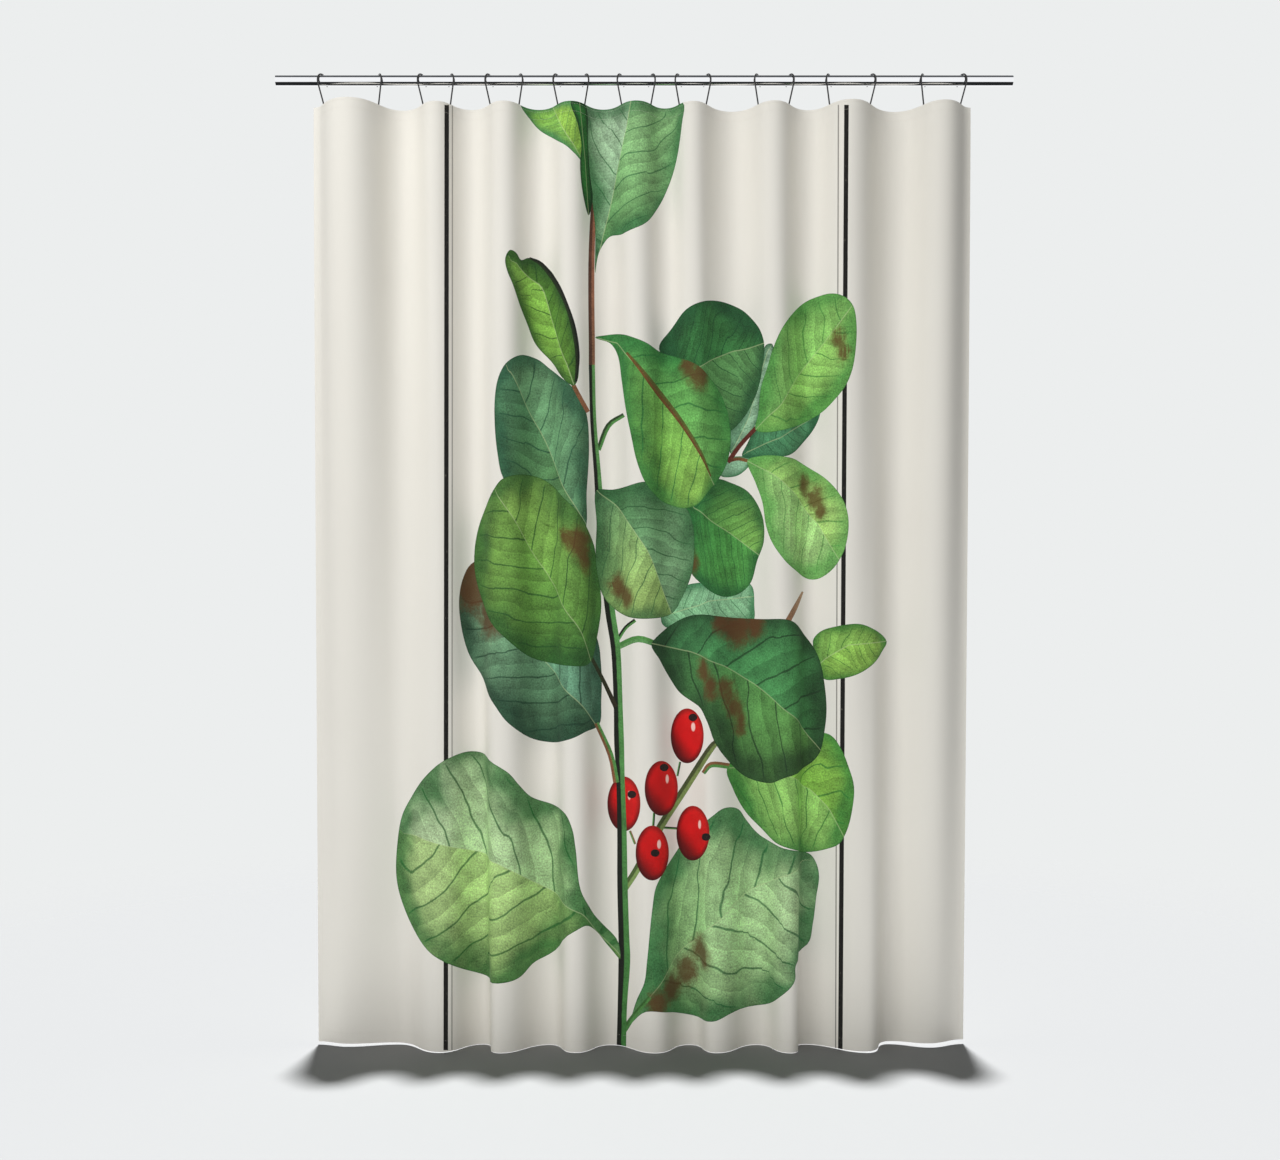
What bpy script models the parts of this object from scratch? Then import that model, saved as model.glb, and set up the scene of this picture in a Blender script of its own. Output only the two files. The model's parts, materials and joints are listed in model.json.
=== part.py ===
"""A printed fabric shower curtain that hangs by open wire hooks from a chromed rod.

Metres, +Z up. The curtain faces -Y. The origin is the middle of the rod's left end face,
and the rod runs along +X. Hooks and hanging loops are numbered from the left.

Each hook is bent in one upright plane through the rod's centre line. In that plane, "front"
is the distance towards the room and "z" the height over the rod's centre line.
"""

import math

import bmesh
import bpy
from mathutils import Vector

MM = 0.001
GAP = 0.3 * MM  # between pieces that touch on the real object

# Curtain cloth
FLAT_WIDTH = 1.800
FLAT_HEIGHT = 2.000
HUNG_WIDTH = 1.397
CLOTH_THICKNESS = 0.5 * MM
SIDE_FLAP = 22 * MM  # from each side edge to the nearest hook
HEADER_DROP = 51 * MM  # from the rod's centre line down to the curtain's top edge

# Widths of the folds between neighbouring hooks, as they hang, in proportion to each other.
# The first bulges to the front, the next to the back, and so on.
FOLD_RHYTHM = (12, 9, 6.2, 8, 6.5, 7.8, 6.1, 7.4, 6.6, 5.6, 6.1, 10.6, 6.9, 8.2, 9, 10.9, 8.2)
STEPS_PER_FOLD = 8
CLOTH_ROWS = 3

# Heading tape, sewn to the back of the curtain
TAPE_HEIGHT = 20 * MM
TAPE_THICKNESS = 0.6 * MM
TAPE_BELOW_TOP = 3 * MM

# Hanging loops, one behind each hook, sewn to the tape by their two feet
LOOP_HEIGHT = 8 * MM
LOOP_BELOW_TOP = 8 * MM
LOOP_THICKNESS = 0.6 * MM
LOOP_FOOT = 4 * MM
LOOP_RISE = 1.6 * MM  # how far each side of the arch leans, seen from above

# Rod
ROD_DIAMETER = 22 * MM
ROD_WALL = 1.0 * MM
ROD_PAST_LEFT_EDGE = 76 * MM
ROD_PAST_RIGHT_EDGE = 85 * MM
ROD_SIDES = 32
PLUG_LENGTH = 20 * MM

# Hooks
WIRE_DIAMETER = 3.2 * MM
CURL_PLAY = 0.5 * MM  # over the tightest curl that clears the rod from a yawed hook
CURL_TIP_ANGLE = math.radians(195)  # from the front, over the top, to the tip behind the rod
KNEE_RADIUS = 8 * MM  # to the middle of the wire, as is the next one
RETURN_BEND_RADIUS = 2.8 * MM
PRONG_PAST_LOOP = 2 * MM
HOOK_YAW = math.radians(25)
CURL_STEPS = 12
KNEE_STEPS = 2
RETURN_STEPS = 6
WIRE_BEVEL_RESOLUTION = 2


def clear_scene():
    for obj in list(bpy.data.objects):
        bpy.data.objects.remove(obj)


def finish(name, colour, roughness, metallic=0.0):
    material = bpy.data.materials.new(name)
    material.use_nodes = True
    shader = material.node_tree.nodes["Principled BSDF"]
    shader.inputs["Base Color"].default_value = (*colour, 1.0)
    shader.inputs["Roughness"].default_value = roughness
    shader.inputs["Metallic"].default_value = metallic
    return material


def place(name, data, material, parent=None, location=(0, 0, 0), yaw=0.0):
    """Put a mesh or a curve in the scene as one named piece."""
    obj = bpy.data.objects.new(name, data)
    bpy.context.scene.collection.objects.link(obj)
    data.materials.clear()
    data.materials.append(material)
    obj.parent = parent
    obj.location = location
    obj.rotation_euler.z = yaw
    return obj


# ---------------------------------------------------------------- the folds


def waviness(depth):
    """Cloth length over hung width of a half sine whose height is depth times its width."""
    steps = 400
    slopes = (math.pi * depth * math.cos(math.pi * (i + 0.5) / steps) for i in range(steps))
    return sum(math.hypot(1, slope) for slope in slopes) / steps


def fold_depth_for(fullness):
    """The fold depth, over fold width, that takes up a given fullness of cloth."""
    low, high = 0.0, 3.0
    for _ in range(50):
        middle = (low + high) / 2
        if waviness(middle) < fullness:
            low = middle
        else:
            high = middle
    return (low + high) / 2


def hook_places(left_edge):
    """Where the curtain crosses the rod's centre plane, which is where the hooks hang."""
    unit = (HUNG_WIDTH - 2 * SIDE_FLAP) / sum(FOLD_RHYTHM)
    places = [left_edge + SIDE_FLAP]
    for width in FOLD_RHYTHM:
        places.append(places[-1] + width * unit)
    return places


def fold_line(places, depth):
    """The curtain seen from above: half sine folds, and a quarter fold out to each side edge."""
    points = []
    for index, (start, end) in enumerate(zip(places, places[1:])):
        side = -1 if index % 2 == 0 else 1
        for step in range(STEPS_PER_FOLD):
            share = step / STEPS_PER_FOLD
            y = side * depth * (end - start) * math.sin(math.pi * share)
            points.append((start + share * (end - start), y))
    points.append((places[-1], 0.0))
    flap = []
    for step in range(1, STEPS_PER_FOLD // 2 + 1):
        share = step / STEPS_PER_FOLD
        y = depth * 2 * SIDE_FLAP * math.sin(math.pi * share)
        flap.append((share * 2 * SIDE_FLAP, y))
    left = [(places[0] - x, y) for x, y in reversed(flap)]
    right = [(places[-1] + x, y) for x, y in flap]
    return [Vector(point) for point in left + points + right]


def line_behind(line, distance):
    """The same line, moved to the back by a set distance, square to each of its stretches."""
    moved = []
    for i, point in enumerate(line):
        before = (point - line[i - 1]).normalized() if i else None
        after = (line[i + 1] - point).normalized() if i + 1 < len(line) else None
        before = before or after
        after = after or before
        normal = Vector((-before.y - after.y, before.x + after.x)).normalized()
        to_stretch = normal.dot(Vector((-after.y, after.x)))
        moved.append(point + normal * distance / to_stretch)
    return moved


def sheet_mesh(name, line, top, bottom, rows):
    """An upright sheet with no thickness that follows a line seen from above."""
    work = bmesh.new()
    grid = []
    for row in range(rows + 1):
        z = top + (bottom - top) * row / rows
        grid.append([work.verts.new((point.x, point.y, z)) for point in line])
    for upper, lower in zip(grid, grid[1:]):
        for i in range(len(line) - 1):
            work.faces.new((upper[i], lower[i], lower[i + 1], upper[i + 1]))
    mesh = bpy.data.meshes.new(name)
    work.to_mesh(mesh)
    work.free()
    mesh.shade_smooth()
    return mesh


def thicken(obj, thickness):
    modifier = obj.modifiers.new("Thickness", "SOLIDIFY")
    modifier.thickness = thickness
    modifier.offset = 0
    modifier.use_even_offset = True


# ---------------------------------------------------------------- the rod


def tube_mesh(name, length, outer, inner):
    """A tube along +X with both ends open, or a solid bar where inner is 0."""
    work = bmesh.new()
    rings = []
    for radius, x in ((outer, 0), (outer, length), (inner, length), (inner, 0)):
        if radius == 0:
            continue
        turns = [2 * math.pi * i / ROD_SIDES for i in range(ROD_SIDES)]
        rings.append([work.verts.new((x, radius * math.cos(a), radius * math.sin(a))) for a in turns])
    if inner:
        for ring, following in zip(rings, rings[1:] + rings[:1]):
            for i in range(ROD_SIDES):
                j = (i + 1) % ROD_SIDES
                work.faces.new((ring[i], ring[j], following[j], following[i]))
    else:
        bmesh.ops.bridge_loops(work, edges=[e for ring in rings for e in ring_edges(work, ring)])
        for ring in rings:
            work.faces.new(ring)
    bmesh.ops.recalc_face_normals(work, faces=work.faces)
    mesh = bpy.data.meshes.new(name)
    work.to_mesh(mesh)
    work.free()
    mesh.shade_smooth()
    mesh.set_sharp_from_angle(angle=math.radians(40))
    return mesh


def ring_edges(work, ring):
    return [work.edges.new((ring[i - 1], ring[i])) for i in range(len(ring))]


def make_rod(length, chrome, plastic):
    outer = ROD_DIAMETER / 2
    inner = outer - ROD_WALL
    place("rod_tube", tube_mesh("rod_tube", length, outer, inner), chrome)
    plug = tube_mesh("rod_plug", PLUG_LENGTH, inner - GAP, 0)
    place("rod_plug_left", plug, plastic)
    place("rod_plug_right", plug.copy(), plastic, location=(length - PLUG_LENGTH, 0, 0))


# ---------------------------------------------------------------- hooks and loops


def arc(centre, radius, start, end, steps):
    """Points along an arc in a hook's plane, as (front, z)."""
    angles = [start + (end - start) * i / steps for i in range(steps + 1)]
    return [centre + radius * Vector((math.cos(a), math.sin(a))) for a in angles]


def layer_places():
    """How far behind the middle of the cloth each layer at a hook lies."""
    tape_back = CLOTH_THICKNESS / 2 + GAP + TAPE_THICKNESS
    foot = tape_back + GAP + LOOP_THICKNESS / 2
    prong = tape_back + GAP + WIRE_DIAMETER / 2
    arch = prong + WIRE_DIAMETER / 2 + GAP + LOOP_THICKNESS / 2
    return foot, prong, arch


def hook_route(lean):
    """The middle of the wire: over the rod, down to the loop, and up through it as a prong."""
    wire = WIRE_DIAMETER / 2
    seat = ROD_DIAMETER / 2 + GAP + wire
    curl_radius = seat / math.cos(HOOK_YAW) ** 2 + CURL_PLAY
    curl = Vector((0, seat - curl_radius))
    prong_front = -layer_places()[1] / math.cos(lean)
    loop_top = -HEADER_DROP - LOOP_BELOW_TOP
    bend_z = loop_top - LOOP_HEIGHT - GAP + RETURN_BEND_RADIUS - wire
    bend = Vector((prong_front - RETURN_BEND_RADIUS, bend_z))
    knee = Vector((bend.x - RETURN_BEND_RADIUS + KNEE_RADIUS, loop_top))
    # The straight leg leaves the front of the curl and meets the back of the knee.
    across = knee - curl
    turn = math.acos((curl_radius + KNEE_RADIUS) / across.length)
    leg_angle = math.atan2(across.y, across.x) + turn
    return (
        arc(curl, curl_radius, CURL_TIP_ANGLE, leg_angle, CURL_STEPS)
        + arc(knee, KNEE_RADIUS, leg_angle + math.pi, math.pi, KNEE_STEPS)
        + arc(bend, RETURN_BEND_RADIUS, math.pi, 2 * math.pi, RETURN_STEPS)
        + [Vector((prong_front, loop_top + PRONG_PAST_LOOP))]
    )


def wire_curve(name, route):
    """A round wire along a route in the plane whose front is -Y."""
    curve = bpy.data.curves.new(name, "CURVE")
    curve.dimensions = "3D"
    curve.bevel_depth = WIRE_DIAMETER / 2
    curve.bevel_resolution = WIRE_BEVEL_RESOLUTION
    curve.use_fill_caps = True
    spline = curve.splines.new("POLY")
    spline.points.add(len(route) - 1)
    for point, (front, z) in zip(spline.points, route):
        point.co = (0, -front, z, 1)
    spline.use_smooth = True
    return curve


def loop_line():
    """A hanging loop seen from above: two feet on the tape and an arch round the prong."""
    foot, _, arch = layer_places()
    half = WIRE_DIAMETER / 2 + GAP + LOOP_THICKNESS
    side = [
        (half + LOOP_RISE + LOOP_FOOT, foot),
        (half + LOOP_RISE, foot),
        (half + LOOP_RISE / 3, (foot + arch) / 2),
        (half - LOOP_THICKNESS, arch),
    ]
    left = [(-x, y) for x, y in side]
    return [Vector(point) for point in left + side[::-1]]


def make_hook_and_loop(number, x, side, fold_yaw, hanger, wire, webbing):
    """side is -1 where the cloth runs to the front on the hook's right, and 1 elsewhere."""
    lean = fold_yaw - HOOK_YAW
    route = hook_route(lean)
    place(
        f"hook_{number:02d}",
        wire_curve(f"hook_{number:02d}", route),
        wire,
        parent=hanger,
        location=(x, 0, 0),
        yaw=side * HOOK_YAW,
    )
    prong_front = route[-1].x
    along = -side * prong_front * math.sin(lean)
    top = -HEADER_DROP - LOOP_BELOW_TOP
    mesh = sheet_mesh(f"loop_{number:02d}", loop_line(), top, top - LOOP_HEIGHT, 1)
    loop = place(
        f"loop_{number:02d}",
        mesh,
        webbing,
        parent=hanger,
        location=(x + along * math.cos(fold_yaw), along * side * math.sin(fold_yaw), 0),
        yaw=side * fold_yaw,
    )
    thicken(loop, LOOP_THICKNESS)


# ---------------------------------------------------------------- the whole curtain


def main():
    clear_scene()
    chrome = finish("Chrome", (0.72, 0.73, 0.75), 0.08, metallic=1.0)
    plastic = finish("Grey plastic", (0.35, 0.36, 0.37), 0.5)
    wire = finish("Black wire", (0.012, 0.012, 0.013), 0.35)
    cloth = finish("Cream cloth", (0.78, 0.75, 0.67), 0.85)
    webbing = finish("White webbing", (0.80, 0.78, 0.73), 0.9)

    make_rod(ROD_PAST_LEFT_EDGE + HUNG_WIDTH + ROD_PAST_RIGHT_EDGE, chrome, plastic)

    hanger = bpy.data.objects.new("swing_axis", None)
    bpy.context.scene.collection.objects.link(hanger)

    places = hook_places(ROD_PAST_LEFT_EDGE)
    depth = fold_depth_for(FLAT_WIDTH / HUNG_WIDTH)
    line = fold_line(places, depth)
    top = -HEADER_DROP
    panel = sheet_mesh("curtain_panel", line, top, top - FLAT_HEIGHT, CLOTH_ROWS)
    thicken(place("curtain_panel", panel, cloth, parent=hanger), CLOTH_THICKNESS)

    behind = CLOTH_THICKNESS / 2 + GAP + TAPE_THICKNESS / 2
    tape_top = top - TAPE_BELOW_TOP
    tape = sheet_mesh("heading_tape", line_behind(line, behind), tape_top, tape_top - TAPE_HEIGHT, 1)
    thicken(place("heading_tape", tape, webbing, parent=hanger), TAPE_THICKNESS)

    fold_yaw = math.atan(depth * STEPS_PER_FOLD * math.sin(math.pi / STEPS_PER_FOLD))
    for index, x in enumerate(places):
        side = -1 if index % 2 == 0 else 1
        make_hook_and_loop(index + 1, x, side, fold_yaw, hanger, wire, webbing)


main()
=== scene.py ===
# %% [markdown]
# # A printed shower curtain on its rod
#
# The real object is a chromed rod, eighteen open hooks of black wire, and one sheet of cream
# cloth printed with a leafy twig, red berries and the gaps between white planks. Its hanging
# loops and a heading tape are sewn behind the top edge.
#
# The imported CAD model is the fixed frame: every piece made here takes its place from it, stays
# in its space, and rides on one of its bodies. Lengths are in metres.

# %% Tools, units and the frame
import json
import math

import bmesh
import bpy
import numpy as np
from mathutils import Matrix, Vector
from mathutils.geometry import delaunay_2d_cdt


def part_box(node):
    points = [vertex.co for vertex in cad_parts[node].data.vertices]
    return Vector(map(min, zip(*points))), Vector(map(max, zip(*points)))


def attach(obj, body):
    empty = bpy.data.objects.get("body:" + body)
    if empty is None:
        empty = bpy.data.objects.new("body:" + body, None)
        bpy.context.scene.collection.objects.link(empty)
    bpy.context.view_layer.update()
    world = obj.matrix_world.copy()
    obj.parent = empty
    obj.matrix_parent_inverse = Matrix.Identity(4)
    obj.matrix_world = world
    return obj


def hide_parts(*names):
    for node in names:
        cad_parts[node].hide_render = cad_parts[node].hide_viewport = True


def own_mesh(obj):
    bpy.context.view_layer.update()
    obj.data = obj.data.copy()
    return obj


MM = 0.001
CM = 0.01

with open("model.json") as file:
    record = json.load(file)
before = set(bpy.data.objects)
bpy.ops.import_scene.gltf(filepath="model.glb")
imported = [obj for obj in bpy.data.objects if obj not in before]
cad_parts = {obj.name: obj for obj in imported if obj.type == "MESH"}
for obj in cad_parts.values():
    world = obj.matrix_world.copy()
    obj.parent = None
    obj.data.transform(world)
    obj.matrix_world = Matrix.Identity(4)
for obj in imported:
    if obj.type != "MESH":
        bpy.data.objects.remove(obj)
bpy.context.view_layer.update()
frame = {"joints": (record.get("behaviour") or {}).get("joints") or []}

# %% [markdown]
# ## Places taken from the frame
#
# The cloth's box gives its top and its sides. The hooks slide along the rod in proportion to
# their distance from the first one, so each one's travel gives its place.

# %% The hooks' places and the cloth's size
panel_low, panel_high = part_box("curtain_panel")
rod_low, rod_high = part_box("rod_tube")
joints = {joint["name"]: joint for joint in frame["joints"]}

FLAT_WIDTH = 1.800
FLAT_HEIGHT = 2.000
SIDE_FLAP = 22 * MM  # from each side edge to the nearest hook, as hung
CLOTH_THICKNESS = 0.5 * MM
HOOK_COUNT = 18

first_hook = panel_low.x + SIDE_FLAP
last_hook = panel_high.x - SIDE_FLAP
travel = joints["draw"]["range_m"][1]
shares = [0.0] + [joints[f"draw_{i:02d}"]["range_m"][1] / travel for i in range(2, HOOK_COUNT)] + [1.0]
hook_x = first_hook + np.array(shares) * (last_hook - first_hook)
hung_width = panel_high.x - panel_low.x
fullness = FLAT_WIDTH / hung_width
hook_s = (hook_x - panel_low.x) * fullness  # the hooks' places on the flat cloth
print(f"{len(hook_x)} hooks, fullness {fullness:.3f}")

# %% [markdown]
# ## How the cloth hangs
#
# A hung sheet keeps its length along every level: only its direction changes. So each level is
# drawn as a direction, in radians from the rod's, for each millimetre of cloth, and adding up
# small steps in that direction gives the line. A flank between two fold crests is an S: it
# starts along the rod, is steepest half way and ends along the rod again. A cloth simulation
# could find such folds too, but it would not put them where this curtain's folds are.

# %% The S of one flank, for any steepness
STEEPNESS = np.radians(np.arange(0, 111))
s_curve = np.sin(np.pi * (np.arange(40) + 0.5) / 40)
REACH = np.cos(STEEPNESS[:, None] * s_curve).mean(axis=1)  # hung width for a metre of cloth
DEPTH = np.sin(STEEPNESS[:, None] * s_curve).mean(axis=1)  # and its depth from front to back
STEP = 1 * MM
levels_s = np.arange(0, FLAT_WIDTH + STEP / 2, STEP)


def walk(direction, start_x):
    """The line that a row of cloth follows, from its direction at each millimetre."""
    middle = (direction[1:] + direction[:-1]) / 2
    x = start_x + np.concatenate([[0], np.cumsum(np.cos(middle) * STEP)])
    y = np.concatenate([[0], np.cumsum(np.sin(middle) * STEP)])
    return x, y


# %% The top edge: equal steepness, crossing the rod's centre plane at each hook
header_steepness = np.interp(-1 / fullness, -REACH, STEEPNESS)
turns = np.pi * np.arange(HOOK_COUNT)
phase = np.interp(
    levels_s,
    [0, *hook_s, FLAT_WIDTH],
    [turns[0] - np.pi / 2, *turns, turns[-1] + np.pi / 2],
)
top_x, top_y = walk(-header_steepness * np.cos(phase), panel_low.x)
top_y -= np.interp(hook_s[0], levels_s, top_y)
print(f"at the hooks the cloth crosses the rod at {math.degrees(header_steepness):.1f} degrees")

# %% The hem: crests where the folds have settled, from the left edge as hung
HEM_CRESTS = (  # (centimetres from the left edge, millimetres behind the rod's centre plane)
    (0.4, 34), (7.0, 23), (17.6, 34), (27.1, -7), (35.8, 34), (39.8, -9), (50.0, 32),
    (55.7, -7), (63.1, 31), (72.6, -9), (80.0, 32), (85.5, -8), (94.4, 32), (101.0, -9),
    (104.6, 34), (117.3, -7), (122.8, 36), (131.2, 19), (138.9, 37),
)
HEM_MIDDLE = 13 * MM


def hem_flanks(depth):
    """Each flank's steepness and cloth length, with the folds' depth scaled."""
    x = np.array([crest[0] for crest in HEM_CRESTS]) * CM
    y = HEM_MIDDLE + depth * (np.array([crest[1] for crest in HEM_CRESTS]) * MM - HEM_MIDDLE)
    across, back = np.diff(x), np.diff(y)
    steepness = np.interp(np.abs(back) / across, DEPTH / REACH, STEEPNESS)
    return x, y, np.sign(back) * steepness, across / np.interp(steepness, STEEPNESS, REACH)


# Halve the range until the flanks take up just the width of the cloth.
shallow, deep = 0.5, 3.0
for _ in range(40):
    depth = (shallow + deep) / 2
    if hem_flanks(depth)[3].sum() < FLAT_WIDTH:
        shallow = depth
    else:
        deep = depth
crest_x, crest_y, flank_steepness, flank_length = hem_flanks(depth)
crest_s = np.concatenate([[0], np.cumsum(flank_length)])
flank = np.clip(np.searchsorted(crest_s, levels_s) - 1, 0, len(flank_length) - 1)
along_flank = (levels_s - crest_s[flank]) / flank_length[flank]
hem_x, hem_y = walk(flank_steepness[flank] * np.sin(np.pi * along_flank), panel_low.x + crest_x[0])
hem_y += crest_y[0]
print(f"hem depth scale {depth:.2f}, y {hem_y.min() * 1000:.0f} to {hem_y.max() * 1000:.0f} mm")

# %% [markdown]
# ## One surface between the two lines
#
# The vertical threads of a hanging cloth are pulled straight by its weight, so a point of the
# cloth lies on the straight line from its place at the top edge to its place at the hem. Just
# below the hooks the cloth still follows the top edge. Where the sides hang back, the hem also
# rises a little.

# %% Where a point of the flat cloth hangs
HEADER_HEIGHT = 60 * MM
LEFT_LIFT = 6 * MM
RIGHT_LIFT = 9 * MM
LIFT_REACH = 0.40
SETTLING = 1.15  # above 1, the folds leave the top edge's line slowly at first


def smooth(share):
    share = np.clip(share, 0, 1)
    return share * share * (3 - 2 * share)


def cloth_point(s, t):
    """s is along the flat cloth from its left side and t down from its top."""
    s, t = np.asarray(s, float), np.asarray(t, float)
    settled = (t - HEADER_HEIGHT) / (FLAT_HEIGHT - HEADER_HEIGHT)
    settled = np.clip(settled, 0, 1) ** SETTLING
    x = (1 - settled) * np.interp(s, levels_s, top_x) + settled * np.interp(s, levels_s, hem_x)
    y = (1 - settled) * np.interp(s, levels_s, top_y) + settled * np.interp(s, levels_s, hem_y)
    lift = LEFT_LIFT * smooth(1 - s / LIFT_REACH)
    lift += RIGHT_LIFT * smooth(1 - (FLAT_WIDTH - s) / LIFT_REACH)
    z = panel_high.z - t + lift * settled**2
    return np.stack([x, y, z], axis=-1)


def cloth_frame(s, t):
    """Unit vectors along the cloth, down it, and out of its printed face."""
    reach = 1.5 * MM  # how far to each side the slope is measured
    along = cloth_point(s + reach, t) - cloth_point(s - reach, t)
    down = cloth_point(s, t + reach) - cloth_point(s, t - reach)
    face = np.cross(along, -down)
    return [v / np.linalg.norm(v, axis=-1, keepdims=True) for v in (along, down, face)]


# %% [markdown]
# ## Camera, floor and light
#
# The camera stands level in front of the curtain, a little below its middle. The floor is a
# pale disc that fades out, so no horizon shows behind the cloth. Large soft lamps light the
# curtain from the front, more from the left than the right, and from behind. They leave the
# floor out, because they would fill its shadow. The floor has a sun of its own, overhead and a
# little behind. Only the cloth stands in its way, so a short shadow falls in front of the hem.

# %% Camera
EYE = Vector((0.770, -2.900, -1.189))
camera_data = bpy.data.cameras.new("Camera")
camera_data.lens = 38.55
camera_data.shift_y = 0.049
camera = bpy.data.objects.new("Camera", camera_data)
camera.location = EYE
camera.rotation_euler = (math.radians(90), 0, 0)
bpy.context.scene.collection.objects.link(camera)
bpy.context.scene.camera = camera
bpy.context.scene.view_settings.view_transform = "Standard"


# %% Helpers for shader trees
def add_node(tree, kind, inputs=None, **settings):
    """A node with its settings, and its inputs set to a value or linked to a socket."""
    made = tree.nodes.new(kind)
    for name, value in settings.items():
        setattr(made, name, value)
    for name, value in (inputs or {}).items():
        if isinstance(value, bpy.types.NodeSocket):
            tree.links.new(value, made.inputs[name])
        else:
            made.inputs[name].default_value = value
    return made


def maths(tree, operation, *values):
    """The output of one Math node."""
    made = add_node(tree, "ShaderNodeMath", dict(enumerate(values)), operation=operation)
    return made.outputs[0]


def mix_colour(tree, share, first, second, blend="MIX"):
    """The output of one colour Mix node. Its colour sockets are numbers 6 and 7."""
    made = add_node(tree, "ShaderNodeMix", data_type="RGBA", blend_type=blend)
    for index, value in ((0, share), (6, first), (7, second)):
        if isinstance(value, bpy.types.NodeSocket):
            tree.links.new(value, made.inputs[index])
        else:
            made.inputs[index].default_value = value
    return made.outputs[2]


def ramp(tree, value, low, high):
    """0 below low, 1 above high, and smooth between them."""
    inputs = {"Value": value, "From Min": low, "From Max": high}
    made = add_node(tree, "ShaderNodeMapRange", inputs, interpolation_type="SMOOTHSTEP")
    return made.outputs["Result"]


def scaled(tree, colour, factor):
    """A colour made lighter or darker by a factor."""
    inputs = {0: colour, "Scale": factor}
    return add_node(tree, "ShaderNodeVectorMath", inputs, operation="SCALE").outputs["Vector"]


def attribute(tree, name):
    """A number or a colour that the mesh carries under this name."""
    return add_node(tree, "ShaderNodeAttribute", attribute_name=name)


def paint(red, green, blue):
    """A linear colour from one given on a 0 to 255 scale."""
    shares = [value / 255 for value in (red, green, blue)]
    linear = [v / 12.92 if v <= 0.04045 else ((v + 0.055) / 1.055) ** 2.4 for v in shares]
    return (*linear, 1.0)


def new_material(name):
    """An empty material and its tree, with a Principled shader joined to the output."""
    material = bpy.data.materials.new(name)
    material.use_nodes = True
    return material, material.node_tree, material.node_tree.nodes["Principled BSDF"]


# %% The floor fades out with distance
FLOOR_Z = panel_low.z - 1 * MM
FLOOR_RADIUS = 4.0
BACKDROP = paint(236, 238, 238)
centre_x = (panel_low.x + panel_high.x) / 2


def floor_material():
    material, tree, shader = new_material("Pale floor")
    shader.inputs["Base Color"].default_value = paint(158, 159, 160)
    shader.inputs["Roughness"].default_value = 0.9
    shader.inputs["Specular IOR Level"].default_value = 0.0
    place = add_node(tree, "ShaderNodeTexCoord").outputs["Object"]
    distance = add_node(tree, "ShaderNodeVectorMath", {0: place}, operation="LENGTH").outputs["Value"]
    tree.links.new(ramp(tree, distance, 3.2, 1.4), shader.inputs["Alpha"])
    return material


rings = 24
corners = 96
points = [(0, 0, 0)]
faces = []
for ring in range(1, rings + 1):
    radius = FLOOR_RADIUS * ring / rings
    angles = [2 * math.pi * i / corners for i in range(corners)]
    points += [(radius * math.cos(a), radius * math.sin(a), 0) for a in angles]
for i in range(corners):
    following = (i + 1) % corners
    faces.append((0, 1 + i, 1 + following))
    for ring in range(1, rings):
        inner, outer = 1 + (ring - 1) * corners, 1 + ring * corners
        faces.append((inner + i, outer + i, outer + following, inner + following))
floor_mesh = bpy.data.meshes.new("floor")
floor_mesh.from_pydata(points, [], faces)
floor_mesh.materials.append(floor_material())
floor = bpy.data.objects.new("floor", floor_mesh)
floor.location = (centre_x, 0, FLOOR_Z)
bpy.context.scene.collection.objects.link(floor)
floor.visible_glossy = False  # the chrome sees the studio instead

# %% Soft lamps, and a studio for the chrome to reflect
not_the_floor = bpy.data.collections.new("not the floor")
not_the_floor.objects.link(floor)
not_the_floor.collection_objects[0].light_linking.link_state = "EXCLUDE"
only_the_floor = bpy.data.collections.new("only the floor")
only_the_floor.objects.link(floor)


def lamp(name, place, target, size, power):
    """A rectangular soft lamp for all but the floor. Size is (width, height), power in watts."""
    data = bpy.data.lights.new(name, "AREA")
    data.shape = "RECTANGLE"
    data.size, data.size_y = size
    data.energy = power
    made = bpy.data.objects.new(name, data)
    made.location = place
    made.rotation_euler = (Vector(target) - Vector(place)).to_track_quat("-Z", "Y").to_euler()
    bpy.context.scene.collection.objects.link(made)
    made.visible_glossy = False
    made.light_linking.receiver_collection = not_the_floor


lamp("key", (-1.4, -2.3, 0.8), (0.5, 0, -0.8), (1.6, 1.6), 44)
lamp("front fill", (0.3, -3.3, 0.5), (0.6, 0, -0.7), (3.0, 3.0), 48)
lamp("back fill", (0.2, 3.6, 0.2), (0.8, 0, -1.0), (3.0, 2.5), 80)

# The sun over the floor. Its slope sets how far the shadow reaches to the front, and its
# angle how soft the shadow is.
SUN_SLOPE = 0.0975
above = bpy.data.objects.new("above", bpy.data.lights.new("above", "SUN"))
above.data.energy = 6.9
above.data.angle = math.radians(2.4)
above.rotation_euler = Vector((0, -SUN_SLOPE, -1)).to_track_quat("-Z", "Y").to_euler()
above.location = (0.8, 0.6, 3.0)
above.visible_glossy = False
above.light_linking.receiver_collection = only_the_floor
bpy.context.scene.collection.objects.link(above)


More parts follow.
